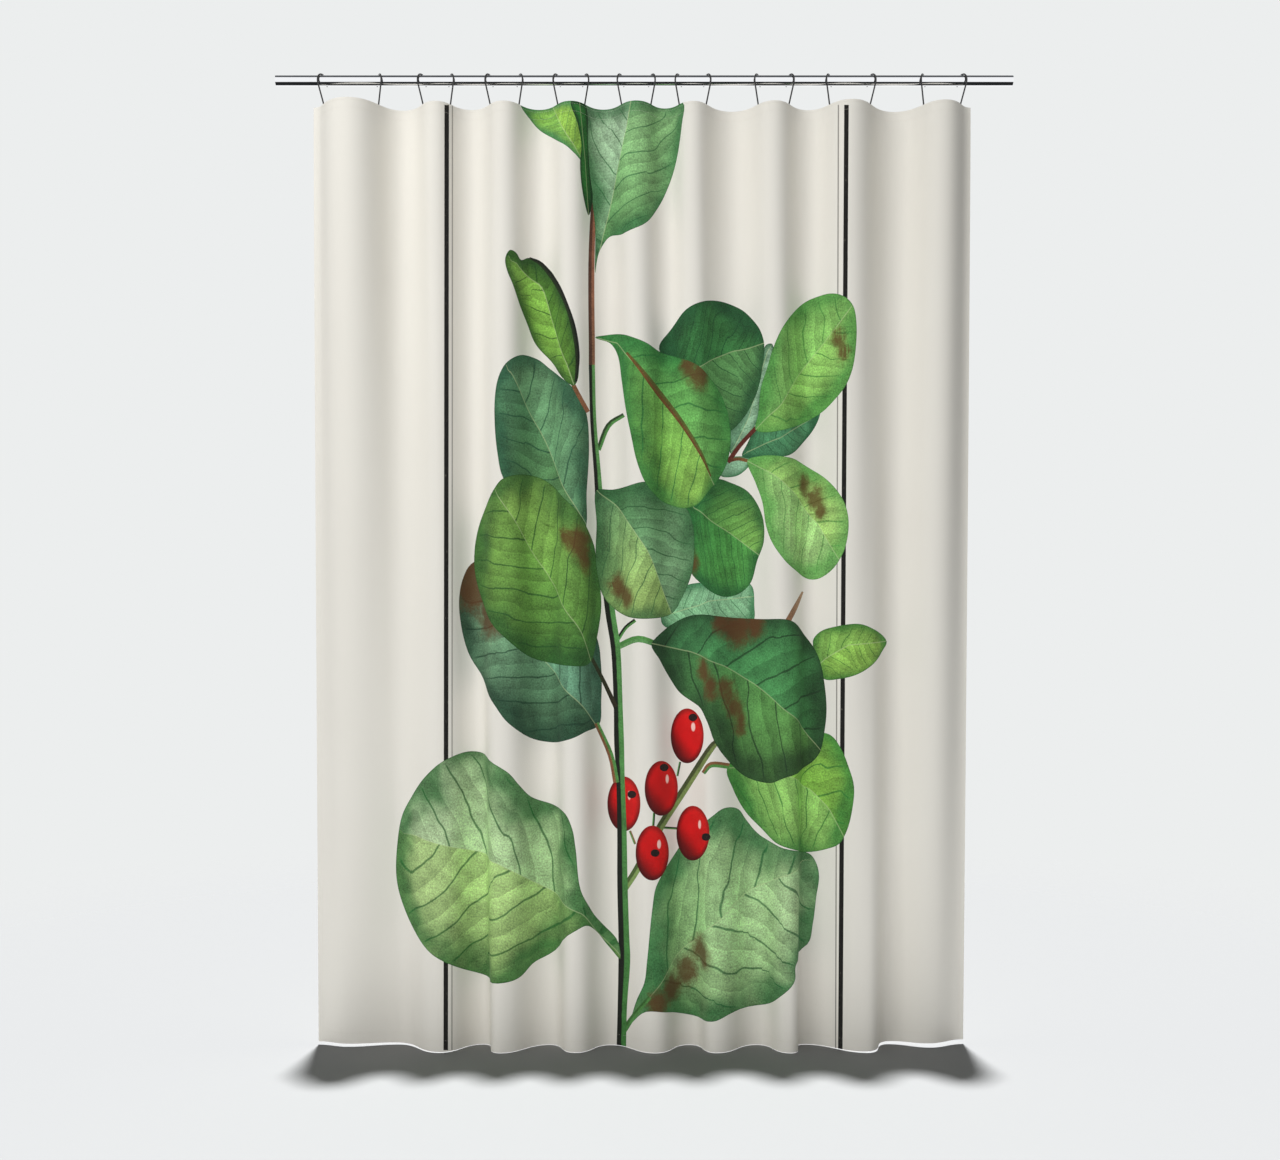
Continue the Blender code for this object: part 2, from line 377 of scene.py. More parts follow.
def studio_world():
    """Pale to the camera, dim to the cloth, and for the chrome a room of pale walls.

    The room's floor is dark and its ceiling grey, which draws the dark lines along the rod.
    """
    world = bpy.data.worlds.new("Studio")
    bpy.context.scene.world = world
    world.use_nodes = True
    tree = world.node_tree
    tree.nodes.clear()
    paths = add_node(tree, "ShaderNodeLightPath")
    seen = add_node(tree, "ShaderNodeBackground", {"Color": BACKDROP, "Strength": 1.0})
    dim = add_node(tree, "ShaderNodeBackground", {"Color": BACKDROP, "Strength": 0.26})
    direction = add_node(tree, "ShaderNodeTexCoord").outputs["Generated"]
    height = add_node(tree, "ShaderNodeSeparateXYZ", {0: direction}).outputs["Z"]
    above_floor = ramp(tree, height, -0.70, -0.62)
    below_ceiling = ramp(tree, height, 0.84, 0.74)
    on_wall = maths(tree, "MULTIPLY", above_floor, below_ceiling)
    dark = mix_colour(tree, ramp(tree, height, -0.1, 0.1), paint(34, 35, 36), paint(86, 88, 90))
    room_colour = mix_colour(tree, on_wall, dark, paint(252, 252, 252))
    room = add_node(tree, "ShaderNodeBackground", {"Color": room_colour, "Strength": 1.25})
    inputs = {0: paths.outputs["Is Glossy Ray"], 1: dim.outputs[0], 2: room.outputs[0]}
    others = add_node(tree, "ShaderNodeMixShader", inputs)
    inputs = {0: paths.outputs["Is Camera Ray"], 1: others.outputs[0], 2: seen.outputs[0]}
    both = add_node(tree, "ShaderNodeMixShader", inputs)
    add_node(tree, "ShaderNodeOutputWorld", {"Surface": both.outputs[0]})


studio_world()
print("camera, floor, three lamps, the floor's sun and the world are set")

# %% [markdown]
# ## Effects that several materials share
#
# The weave, the mottling of hand-laid watercolour, and the way a printed ink thins out on the
# back of the cloth are each a node group. A group gives only a colour, a value or a normal, and
# the shader itself stays in each material.


# %% Node group helpers
def new_group(name, takes, gives):
    """An empty group with its named sockets. takes is {name: (socket type, default)}."""
    group = bpy.data.node_groups.new(name, "ShaderNodeTree")
    for label, (kind, default) in takes.items():
        socket = group.interface.new_socket(label, in_out="INPUT", socket_type=kind)
        if default is not None:
            socket.default_value = default
    for label, kind in gives.items():
        group.interface.new_socket(label, in_out="OUTPUT", socket_type=kind)
    return group, group.nodes.new("NodeGroupInput").outputs, group.nodes.new("NodeGroupOutput").inputs


def use_group(tree, group, inputs):
    made = tree.nodes.new("ShaderNodeGroup")
    made.node_tree = group
    for name, value in inputs.items():
        if isinstance(value, bpy.types.NodeSocket):
            tree.links.new(value, made.inputs[name])
        else:
            made.inputs[name].default_value = value
    return made.outputs


# %% The weave: threads that pass over and under, as height and as the gaps between them
def weave_group():
    takes = {
        "Place": ("NodeSocketVector", None),
        "Threads per metre": ("NodeSocketFloat", 1500.0),
        "Strength": ("NodeSocketFloat", 0.25),
        "Thread height": ("NodeSocketFloat", 0.00008),
    }
    gives = {"Gaps": "NodeSocketFloat", "Normal": "NodeSocketVector"}
    group, takes, gives = new_group("Plain weave", takes, gives)
    parts = add_node(group, "ShaderNodeSeparateXYZ", {0: takes["Place"]}).outputs
    turn = maths(group, "MULTIPLY", takes["Threads per metre"], math.pi)
    warp = maths(group, "SINE", maths(group, "MULTIPLY", parts["X"], turn))
    weft = maths(group, "SINE", maths(group, "MULTIPLY", parts["Y"], turn))
    over = maths(group, "MULTIPLY", warp, weft)
    height = maths(group, "MULTIPLY_ADD", over, 0.5, 0.5)
    inputs = {"Vector": takes["Place"], "Scale": 220.0, "Detail": 3.0}
    slubs = add_node(group, "ShaderNodeTexNoise", inputs).outputs["Fac"]
    height = maths(group, "ADD", height, maths(group, "MULTIPLY", slubs, 0.8))
    inputs = {"Strength": takes["Strength"], "Distance": takes["Thread height"], "Height": height}
    bump = add_node(group, "ShaderNodeBump", inputs)
    gaps = ramp(group, maths(group, "ABSOLUTE", over), 0.30, 0.02)
    group.links.new(gaps, gives["Gaps"])
    group.links.new(bump.outputs["Normal"], gives["Normal"])
    return group


# %% Watercolour mottling: broad pools and fine grain
def watercolour_group():
    takes = {
        "Place": ("NodeSocketVector", None),
        "Colour": ("NodeSocketColor", None),
        "Amount": ("NodeSocketFloat", 0.3),
    }
    group, takes, gives = new_group("Watercolour", takes, {"Colour": "NodeSocketColor"})
    inputs = {"Vector": takes["Place"], "Scale": 26.0, "Detail": 5.0, "Roughness": 0.6}
    pools = add_node(group, "ShaderNodeTexNoise", inputs).outputs["Fac"]
    inputs = {"Vector": takes["Place"], "Scale": 260.0, "Detail": 3.0, "Roughness": 0.7}
    grain = add_node(group, "ShaderNodeTexNoise", inputs).outputs["Fac"]
    both = maths(group, "ADD", pools, maths(group, "MULTIPLY", grain, 1.4))
    tone = maths(group, "SUBTRACT", both, 1.18)
    factor = maths(group, "MULTIPLY_ADD", tone, maths(group, "MULTIPLY", takes["Amount"], 3.0), 1.0)
    group.links.new(scaled(group, takes["Colour"], factor), gives["Colour"])
    return group


# %% Ink on cloth: it leaves the gaps of the weave, and only part of it comes through to the back
CREAM = paint(238, 233, 222)
CREAM_BACK = paint(226, 222, 212)


def ink_group():
    takes = {
        "Ink": ("NodeSocketColor", None),
        "Gaps": ("NodeSocketFloat", 0.0),
        "Back": ("NodeSocketFloat", 0.0),
    }
    group, takes, gives = new_group("Ink on cloth", takes, {"Colour": "NodeSocketColor"})
    bare = maths(group, "MULTIPLY", takes["Gaps"], 0.05)
    lost = maths(group, "MAXIMUM", bare, maths(group, "MULTIPLY", takes["Back"], 0.68))
    ground = mix_colour(group, takes["Back"], CREAM, CREAM_BACK)
    group.links.new(mix_colour(group, lost, takes["Ink"], ground), gives["Colour"])
    return group


WEAVE = weave_group()
WATERCOLOUR = watercolour_group()
INK = ink_group()


def cloth_shader(name):
    """A matt cloth with its weave. Gives the material, its tree and what a print needs."""
    material, tree, shader = new_material(name)
    flat = add_node(tree, "ShaderNodeUVMap", uv_map="flat").outputs["UV"]
    weave = use_group(tree, WEAVE, {"Place": flat})
    tree.links.new(weave["Normal"], shader.inputs["Normal"])
    shader.inputs["Roughness"].default_value = 0.82
    shader.inputs["Specular IOR Level"].default_value = 0.15
    shader.inputs["Sheen Weight"].default_value = 0.04
    shader.inputs["Sheen Roughness"].default_value = 0.5
    return material, tree, shader, flat, weave["Gaps"]


def lay_ink(tree, shader, colour, gaps):
    back = attribute(tree, "back").outputs["Fac"]
    printed = use_group(tree, INK, {"Ink": colour, "Gaps": gaps, "Back": back})["Colour"]
    tree.links.new(printed, shader.inputs["Base Color"])


# %% [markdown]
# ## Inks
#
# Each printed corner carries a few numbers: how far along and across its leaf it lies, how far
# inside the outline, how near a stain, and how long and how broad the leaf is. It also carries
# three colours of its leaf, one for each side of the midrib and one for the rim. From those the
# leaf ink draws the side veins, the puckers between them, the wash that deepens to the rim, the
# midrib and the brown stains, so one material serves every leaf.


# %% Cream ground
def ground_material():
    material, tree, shader, flat, gaps = cloth_shader("Cream cloth")
    inputs = {"Vector": flat, "Scale": 3.0, "Detail": 4.0}
    cloud = add_node(tree, "ShaderNodeTexNoise", inputs).outputs["Fac"]
    colour = mix_colour(tree, cloud, paint(243, 240, 231), paint(237, 233, 224))
    # Painted shade: the cloth's colour is made darker in the gaps between its threads, where shade falls.
    thread = mix_colour(tree, maths(tree, "MULTIPLY", gaps, 0.35), colour, paint(206, 200, 188))
    lay_ink(tree, shader, thread, 0.0)
    return material


# %% Leaf ink
SIDE_VEINS = 6.0  # on each side, along a whole midrib
DEEP_GREEN = paint(14, 44, 20)
STAIN_BROWN = paint(92, 56, 28)


def veined(tree, body, rim, wander, facts):
    """Side veins that leave the midrib forwards and curve to the tip, and the puckers between."""
    along, across, edge = facts["along"], facts["across"], facts["edge"]
    out = maths(tree, "ABSOLUTE", across)
    bend = maths(tree, "MULTIPLY", maths(tree, "MULTIPLY", out, out), 1.4)
    reach = maths(tree, "ADD", maths(tree, "MULTIPLY", out, 0.70), bend)
    place = maths(tree, "SUBTRACT", along, reach)
    place = maths(tree, "ADD", place, maths(tree, "MULTIPLY", wander, 0.050))
    place = maths(tree, "ADD", place, maths(tree, "MULTIPLY", maths(tree, "SIGN", across), 0.014))
    pitch = maths(tree, "DIVIDE", facts["span"], SIDE_VEINS)
    share = maths(tree, "FRACT", maths(tree, "DIVIDE", place, pitch))
    inner = ramp(tree, edge, 2 * MM, 16 * MM)
    offset = maths(tree, "SUBTRACT", share, 0.5)
    vein = maths(tree, "MULTIPLY", ramp(tree, maths(tree, "ABSOLUTE", offset), 0.042, 0.014), inner)
    pucker = maths(tree, "MULTIPLY_ADD", maths(tree, "MULTIPLY", offset, 0.34), inner, 1.0)
    body = scaled(tree, body, pucker)
    vein_colour = mix_colour(tree, 0.85, body, mix_colour(tree, 0.3, rim, DEEP_GREEN))
    return mix_colour(tree, maths(tree, "MULTIPLY", vein, 0.90), body, vein_colour)


def washed(tree, body, rim, wander, facts):
    """A lighter middle, a wash that deepens unevenly to the edge, and a thin line along it."""
    inward = maths(tree, "DIVIDE", facts["edge"], facts["breadth"])
    light = maths(tree, "MULTIPLY_ADD", ramp(tree, inward, 0.25, 0.95), 0.28, 1.0)
    body = scaled(tree, body, light)
    uneven = maths(tree, "MULTIPLY_ADD", maths(tree, "SUBTRACT", wander, 0.5), 0.9, inward)
    wash = ramp(tree, uneven, 0.62, 0.0)
    wash = maths(tree, "MULTIPLY", wash, wash)
    body = mix_colour(tree, maths(tree, "MULTIPLY", wash, 0.82), body, rim)
    rim_line = maths(tree, "MULTIPLY", ramp(tree, facts["edge"], 2.5 * MM, 0.5 * MM), 0.6)
    return mix_colour(tree, rim_line, body, mix_colour(tree, 0.35, rim, paint(12, 40, 18)))


def stained(tree, body, flat, stain):
    """Brown stains with ragged borders."""
    inputs = {"Vector": flat, "Scale": 55.0, "Detail": 6.0, "Roughness": 0.75}
    rag = add_node(tree, "ShaderNodeTexNoise", inputs).outputs["Fac"]
    amount = maths(tree, "MULTIPLY_ADD", rag, 0.9, maths(tree, "SUBTRACT", stain, 0.55))
    blot = ramp(tree, amount, 0.08, 0.62)
    return mix_colour(tree, maths(tree, "MULTIPLY", blot, 0.86), body, STAIN_BROWN)


def leaf_material():
    material, tree, shader, flat, gaps = cloth_shader("Leaf ink")
    names = ("along", "across", "edge", "stain", "span", "breadth")
    facts = {name: attribute(tree, name).outputs["Fac"] for name in names}
    colours = [attribute(tree, name).outputs["Color"] for name in ("ink_a", "ink_b", "ink_rim")]
    first, second, rim = colours
    inputs = {"Vector": flat, "Scale": 9.0, "Detail": 2.0}
    wander = add_node(tree, "ShaderNodeTexNoise", inputs).outputs["Fac"]
    half = ramp(tree, facts["across"], -0.8 * MM, 0.8 * MM)
    half = maths(tree, "MULTIPLY_ADD", half, 0.80, 0.10)
    body = mix_colour(tree, half, second, first)
    body = veined(tree, body, rim, wander, facts)
    body = washed(tree, body, rim, wander, facts)
    body = use_group(tree, WATERCOLOUR, {"Place": flat, "Colour": body, "Amount": 0.50})["Colour"]
    out = maths(tree, "ABSOLUTE", facts["across"])
    midrib = maths(tree, "MULTIPLY", ramp(tree, out, 1.5 * MM, 0.7 * MM), 0.8)
    pale = mix_colour(tree, 0.45, body, paint(205, 220, 165))
    body = mix_colour(tree, midrib, body, pale)
    body = stained(tree, body, flat, facts["stain"])
    lay_ink(tree, shader, body, gaps)
    return material


# %% Stem, berry and line inks
def stem_material():
    material, tree, shader, flat, gaps = cloth_shader("Stem ink")
    first, second = attribute(tree, "ink_a").outputs["Color"], attribute(tree, "ink_b").outputs["Color"]
    across = attribute(tree, "across").outputs["Fac"]
    body = mix_colour(tree, ramp(tree, across, -1.5 * MM, 1.5 * MM), second, first)
    body = use_group(tree, WATERCOLOUR, {"Place": flat, "Colour": body, "Amount": 0.45})["Colour"]
    lay_ink(tree, shader, body, gaps)
    return material


def berry_material():
    """Red, shaded to the lower left, brighter to the upper right, with one small glint."""
    material, tree, shader, flat, gaps = cloth_shader("Berry ink")
    edge = attribute(tree, "edge").outputs["Fac"]
    along, across = attribute(tree, "along").outputs["Fac"], attribute(tree, "across").outputs["Fac"]
    body = mix_colour(tree, ramp(tree, edge, 0.0, 14 * MM), paint(104, 4, 8), paint(208, 10, 14))
    light = maths(tree, "ADD", maths(tree, "MULTIPLY", along, -0.9), maths(tree, "MULTIPLY", across, 1.0))
    shade = maths(tree, "MULTIPLY", ramp(tree, light, -0.006, -0.058), 0.85)
    body = mix_colour(tree, shade, body, paint(62, 2, 6))
    shine = maths(tree, "MULTIPLY", ramp(tree, light, 0.010, 0.050), 0.25)
    body = mix_colour(tree, shine, body, paint(236, 40, 34))
    body = use_group(tree, WATERCOLOUR, {"Place": flat, "Colour": body, "Amount": 0.16})["Colour"]
    up = maths(tree, "POWER", maths(tree, "DIVIDE", maths(tree, "ADD", along, 19 * MM), 11 * MM), 2.0)
    side = maths(tree, "POWER", maths(tree, "DIVIDE", maths(tree, "SUBTRACT", across, 15 * MM), 6 * MM), 2.0)
    glint = ramp(tree, maths(tree, "ADD", up, side), 1.0, 0.35)
    body = mix_colour(tree, glint, body, paint(250, 205, 195))
    lay_ink(tree, shader, body, gaps)
    return material


def line_material():
    material, tree, shader, flat, gaps = cloth_shader("Plank gap ink")
    colour = attribute(tree, "ink_a").outputs["Color"]
    inputs = {"Vector": flat, "Scale": 120.0, "Detail": 4.0}
    worn = add_node(tree, "ShaderNodeTexNoise", inputs).outputs["Fac"]
    body = mix_colour(tree, ramp(tree, worn, 0.62, 0.80), colour, paint(96, 92, 84))
    lay_ink(tree, shader, body, gaps)
    return material


INKS = {
    "ground": ground_material(),
    "leaf": leaf_material(),
    "stem": stem_material(),
    "berry": berry_material(),
    "line": line_material(),
}
print("inks:", ", ".join(INKS))

# %% [markdown]
# ## The drawing
#
# A printer's drawing is made of closed shapes laid over each other. Each shape here is a few
# points in centimetres, from the left edge and the top edge of the curtain as it hangs, and a
# smooth curve through them. A stem is a line with a width at each of its points. The list runs
# from the lowest ink to the topmost.
#
# A leaf has its outline, its midrib from the stalk to the tip, and five colours: on each side of
# the midrib the colour near the stalk and near the tip, and the rim. The first side is on the
# right hand of someone who walks from the stalk to the tip.

# %% A shape of the drawing
drawing = []


def shape(ink, outline, line=(), first=None, second=None, rim=None, stains=(), smooth_outline=True):
    """first and second are pairs of colours, at the line's start and at its end."""
    first = first or ((20, 20, 20), (20, 20, 20))
    second = second or first
    drawing.append(
        {
            "ink": ink,
            "outline": outline,
            "line": line,
            "first": [paint(*colour) for colour in first],
            "second": [paint(*colour) for colour in second],
            "rim": paint(*(rim or first[0])),
            "stains": stains,
            "smooth": smooth_outline,
        }
    )


def leaf(outline, midrib=(), first=None, second=None, rim=None, stains=()):
    """A leaf. stains are (x, y, reach) in centimetres."""
    shape("leaf", outline, midrib, first, second, rim, stains)


def bent(line, widths, steps=4):
    """The line with a smooth bend at each of its points, and its width at each new point."""
    points = np.column_stack([np.array(line, float), widths])
    points = np.vstack([2 * points[0] - points[1], points, 2 * points[-1] - points[-2]])
    curve = []
    for before, here, following, after in zip(points, points[1:], points[2:], points[3:]):
        for u in np.arange(steps) / steps:
            curve.append(
                0.5 * (2 * here + (following - before) * u)
                + 0.5 * (2 * before - 5 * here + 4 * following - after) * u**2
                + 0.5 * (3 * (here - following) + after - before) * u**3
            )
    curve = np.array([*curve, points[-2]])
    return [tuple(point) for point in curve[:, :2]], curve[:, 2]


def strip(ink, line, widths, first, second=None, **more):
    """A band along a line. widths are in centimetres at its points, or one for all of it."""
    if not hasattr(widths, "__len__"):
        widths = [widths] * len(line)
    line, widths = bent(line, widths)
    left, right = [], []
    for i, (x, y) in enumerate(line):
        ahead, behind = line[min(i + 1, len(line) - 1)], line[max(i - 1, 0)]
        along = Vector((ahead[0] - behind[0], ahead[1] - behind[1])).normalized() * widths[i] / 2
        left.append((x - along.y, y + along.x))
        right.append((x + along.y, y - along.x))
    shape(ink, left + right[::-1], line, first, second, smooth_outline=False, **more)


# %% The gaps between the planks
def upright(x_top, x_hem, width, colour):
    points = [(x_top + (x_hem - x_top) * i / 12, 200 * i / 12) for i in range(13)]
    strip("line", points, width, (colour, colour))


upright(28.5, 28.3, 0.95, (14, 13, 13))
upright(29.7, 29.6, 0.26, (168, 164, 157))
upright(113.1, 111.8, 0.95, (14, 13, 13))
upright(111.4, 110.8, 0.26, (150, 146, 140))

# %% Leaves behind the stem
leaf(
    [(44.5, 52.9), (41.5, 54.2), (39.5, 57.5), (38.7, 62), (38.7, 68), (39.3, 74), (40.5, 79), (46, 87),
     (57.6, 90), (58.1, 82), (58.6, 73), (58.2, 66), (56.7, 62.2), (54.4, 59), (50.4, 55.9), (47.6, 53.8)],
    [(59.9, 92.3), (56.7, 86.6), (51, 75.1), (48.3, 69), (41.7, 55.9)],
    ((100, 150, 108), (104, 146, 104)), ((84, 122, 66), (70, 118, 84)), (38, 84, 60),
)
leaf(
    [(34.3, 96.7), (32, 100), (31.1, 105), (31.8, 111.5), (33.6, 117), (36.6, 122.3), (38.5, 126.8),
     (41.5, 130.8), (45.3, 133.5), (50, 134.8), (54, 134.4), (57.8, 132.7), (60.7, 131.2), (61.2, 126),
     (61.2, 119), (60, 112), (52.5, 103), (44, 96)],
    [(60.7, 131.9), (55.7, 125.7), (50.4, 118.9), (44, 111.1), (36, 101)],
    ((96, 146, 116), (110, 150, 120)), ((46, 84, 52), (112, 152, 116)), (26, 62, 44),
    stains=((34.5, 102.5, 7), (37.5, 108, 6.5), (33.5, 99, 5)),
)
leaf(
    [(70.3, 185.8), (70.9, 181.2), (72, 170.2), (72.8, 165.5), (74.5, 162.1), (77, 158.1), (80.4, 154.1),
     (84.2, 150.9), (87.2, 148.8), (90.2, 149), (91.9, 151.3), (94.8, 154.5), (98.2, 156.6), (102.9, 157.9),
     (105.2, 158.4), (106.7, 160.4), (107.3, 163.2), (106.7, 167.6), (106, 173.1), (104.8, 177.6),
     (102.4, 182), (102.2, 185.2), (99.5, 188.4), (95.9, 190.3), (88.3, 192.4), (84.7, 194), (80.6, 192.6),
     (75.6, 192), (70.7, 191.9), (67.5, 194.2), (68.5, 190)],
    [(67, 194), (71.1, 189.2), (75.6, 182.6), (80.2, 177.1), (84.7, 173.8), (89.3, 169.1), (93.8, 165.5),
     (97.4, 164), (103.4, 160.2)],
    ((138, 180, 114), (172, 202, 150)), ((126, 174, 108), (166, 198, 142)), (30, 104, 54),
    stains=((82.2, 178.2, 3.8), (83, 180.6, 3.2), (79.2, 183, 4.4), (76.2, 186.6, 4.4), (73.4, 190.2, 3.6)),
)
leaf(
    [(87.8, 140.3), (94.8, 135.4), (103.3, 133.3), (108.6, 132.9), (110.3, 133.8), (112, 136.3),
     (113.5, 139.9), (114.7, 144.3), (114.3, 149.2), (113.2, 153.5), (111.6, 156.3), (109.4, 157.3),
     (104.6, 158.1), (100.5, 157.2), (97.4, 155.5), (94.4, 152.4), (91.2, 148.8), (89.1, 144.8)],
    [(87.8, 140.3), (94.8, 140.3), (101.4, 142.2), (105.4, 144.8), (109.4, 148.8), (112.6, 154.9)],
    ((122, 172, 88), (146, 192, 104)), ((112, 166, 66), (134, 182, 72)), (48, 122, 52),
)
leaf(
    [(106, 113.4), (107.5, 111.5), (110.7, 110.4), (115.6, 109.8), (118.6, 110.8), (121.6, 113.6),
     (120.4, 116), (118.3, 118.7), (115.6, 120.4), (112, 121.4), (108.2, 121.4), (107, 118.1)],
    [(106.5, 119.2), (108.6, 117.2), (113.5, 114.3), (121.3, 113.5)],
    ((126, 170, 74), (136, 178, 78)), ((112, 158, 76), (136, 178, 82)), (52, 118, 48),
)
leaf(
    [(73.9, 109.4), (74.7, 104.8), (79.2, 101.6), (85, 101), (91.2, 100.6), (93.2, 102), (93.6, 105.8),
     (93.3, 109.4), (83.2, 110.4), (76, 111)],
    [(75, 108), (84, 105), (93, 104)],
    ((120, 170, 126), (128, 176, 134)), rim=(52, 118, 74),
)
leaf(
    [(79.2, 84.6), (82.6, 82.6), (85.7, 79.2), (88.7, 80), (92.1, 81.7), (94.2, 84.4), (95.5, 87.8),
     (95.6, 92.5), (94.2, 96.5), (92.9, 101), (90.6, 103.3), (87.2, 104.1), (83.6, 102.4), (80.6, 99.6),
     (79, 94.8), (79, 89.1)],
    [(80.9, 85.3), (87.8, 90.2), (94.8, 95.4)],
    ((48, 112, 52), (74, 150, 70)), ((44, 114, 56), (136, 186, 90)), (30, 88, 46),
    stains=((79.5, 97, 3.6),),
)
leaf(
    [(87.5, 75), (89.5, 74.4), (93.5, 74.8), (92, 77), (89.6, 78.6), (86.4, 78.4)],
    first=((124, 164, 132), (130, 170, 138)), rim=(60, 116, 76),
)
leaf(
    [(94, 68.4), (100.5, 67.2), (105.2, 65.4), (107.5, 65), (106.3, 68.4), (103.7, 71.7), (101, 74.1),
     (96.7, 74.5), (91, 74.3), (92.1, 71.7)],
    [(92, 73.5), (99, 70.5), (107, 65.5)],
    ((64, 122, 82), (78, 136, 94)), rim=(34, 86, 54),
)
leaf(
    [(95.9, 51), (97.4, 50.6), (97.4, 54.8), (95.4, 59.9), (94.6, 65.6), (92.9, 69.4), (90.6, 72.2),
     (88.7, 74), (88.3, 69.4), (90.4, 67), (93.6, 60), (95.2, 55)],
    [(89, 73), (92.5, 66), (96.6, 51.5)],
    ((128, 164, 132), (148, 180, 150)), ((96, 140, 108), (120, 160, 124)), (58, 108, 72),
)
leaf(
    [(73.4, 51.6), (75.6, 48), (78.3, 44.2), (81.1, 42.1), (84.5, 41.4), (87.2, 41.8), (90.6, 43.2),
     (92.9, 45.1), (94.8, 47.6), (95.7, 50.6), (95.4, 54.8), (94.6, 59.5), (92.9, 63.7), (90.6, 67.1),
     (88.1, 69), (82.1, 62.4), (76.8, 56.1)],
    [(77, 58), (82.1, 55.4), (89.1, 52.1), (95.7, 50.4)],
    ((78, 126, 70), (92, 140, 84)), ((40, 98, 50), (52, 112, 58)), (26, 72, 42),
)

# %% A berry, as an upright ellipse, and its calyx as a small dark spot
BERRY_HALF_WIDTH = 3.5
BERRY_HALF_HEIGHT = 5.8


def berry(x, y, calyx_x, calyx_y):
    turns = [2 * math.pi * i / 28 for i in range(28)]
    outline = [(x + BERRY_HALF_WIDTH * math.cos(a), y + BERRY_HALF_HEIGHT * math.sin(a)) for a in turns]
    shape("berry", outline, [(x, y), (x, y + 0.1)])
    spots = [(calyx_x + 0.95 * math.cos(a), calyx_y + 0.80 * math.sin(a)) for a in turns[::4]]
    shape("stem", spots, [(calyx_x, calyx_y), (calyx_x, calyx_y + 0.1)], ((26, 12, 12), (26, 12, 12)))


# %% Stem and twigs
GREEN = ((74, 132, 66), (84, 142, 70))
DARK = ((14, 18, 14), (14, 18, 14))
BROWN = ((132, 84, 58), (126, 88, 58))
berry(66.0, 147.9, 67.7, 145.9)
strip("stem", [(77.9, 139), (77.3, 142)], 0.45, GREEN, DARK)
strip("stem", [(72.4, 149.8), (72.2, 152.6)], 0.5, GREEN, DARK)
strip("stem", [(67.3, 153.6), (68.4, 156.4)], 0.5, GREEN, BROWN)
strip("stem", [(74.2, 152.9), (77.6, 153.1)], 0.5, GREEN, DARK)
strip(
    "stem", [(66, 166), (68.8, 161.7), (73.9, 152.4), (79, 144.5), (84, 136.7), (85.8, 134.6)],
    [1.5, 1.5, 1.6, 1.6, 1.5, 1.2], ((122, 150, 84), (112, 128, 70)), ((70, 92, 46), (66, 70, 42)),
)
strip("stem", [(82.8, 141.4), (84.5, 139.6), (88.3, 139.9)], [0.9, 1.2, 1.2], GREEN, BROWN)
strip("stem", [(60.6, 73), (62.7, 67.9), (66, 65.6)], [1.0, 1.1, 0.9], GREEN, ((42, 66, 36), (42, 66, 36)))
strip("stem", [(64.8, 113), (66.4, 110.6), (68.4, 109)], 0.8, GREEN, DARK)
strip(
    "stem", [(64.8, 114.6), (69, 113), (73.4, 114.3)],
    [1.3, 1.4, 1.2], ((102, 152, 90), (80, 132, 78)), GREEN,
)
strip(
    "stem", [(66, 195.8), (68.4, 192.4), (71.5, 188.8)],
    [1.3, 1.0, 0.8], GREEN, ((60, 104, 50), (60, 104, 50)),
)
strip(
    "stem",
    [(59.6, 20), (59.3, 27), (59.1, 34.3), (59.1, 42.3), (59.2, 50.6), (59.2, 56)],
    [1.0, 1.25, 1.3, 1.3, 1.3, 1.3], ((92, 56, 44), (84, 54, 42)), ((156, 98, 76), (140, 98, 72)),
)
strip(
    "stem",
    [(59.2, 55), (59.5, 66.7), (60.4, 78.1), (61.4, 92.1), (63, 106.5), (64.3, 115.3), (64.8, 127),
     (65, 135), (65.3, 142.9), (65.6, 153.9), (65.7, 164.7), (66, 175.7), (66.1, 181.4), (65.7, 190.3),
     (65.5, 198), (65.5, 200)],
    [1.3, 1.3, 1.5, 1.9, 2.1, 2.0, 1.9, 2.1, 1.8, 2.0, 2.2, 2.3, 2.5, 2.0, 2.0, 2.0],
    ((14, 20, 14), (12, 18, 12)), ((92, 148, 82), (64, 124, 60)),
)
strip("stem", [(60.3, 16.6), (60.6, 19), (60.2, 22)], [0.5, 1.1, 0.5], ((34, 20, 16), (34, 20, 16)))
strip("stem", [(58.4, 65), (56.4, 61.4), (54.6, 57.8)], [0.9, 0.9, 0.8], ((150, 100, 72), (120, 84, 50)))
strip("stem", [(64.3, 127.4), (61.4, 121.3), (58.6, 116)], [1.0, 0.8, 0.7], ((40, 34, 22), (40, 50, 26)))
strip("stem", [(64.4, 143.4), (63.2, 137.6), (60.2, 130.8)], [1.3, 1.2, 1.0], GREEN, BROWN)
strip("stem", [(88, 75.6), (90.6, 72), (94, 68.3)], [1.0, 0.9, 0.9], ((92, 40, 32), (92, 40, 32)))
strip("stem", [(88, 75.4), (90.2, 74.9), (92.4, 75.4)], 0.7, ((92, 40, 32), (120, 90, 50)))
strip(
    "stem", [(100.6, 109.4), (102.2, 106.4), (103.8, 103)],
    [1.2, 1.0, 0.4], ((126, 88, 62), (170, 140, 110)),
)

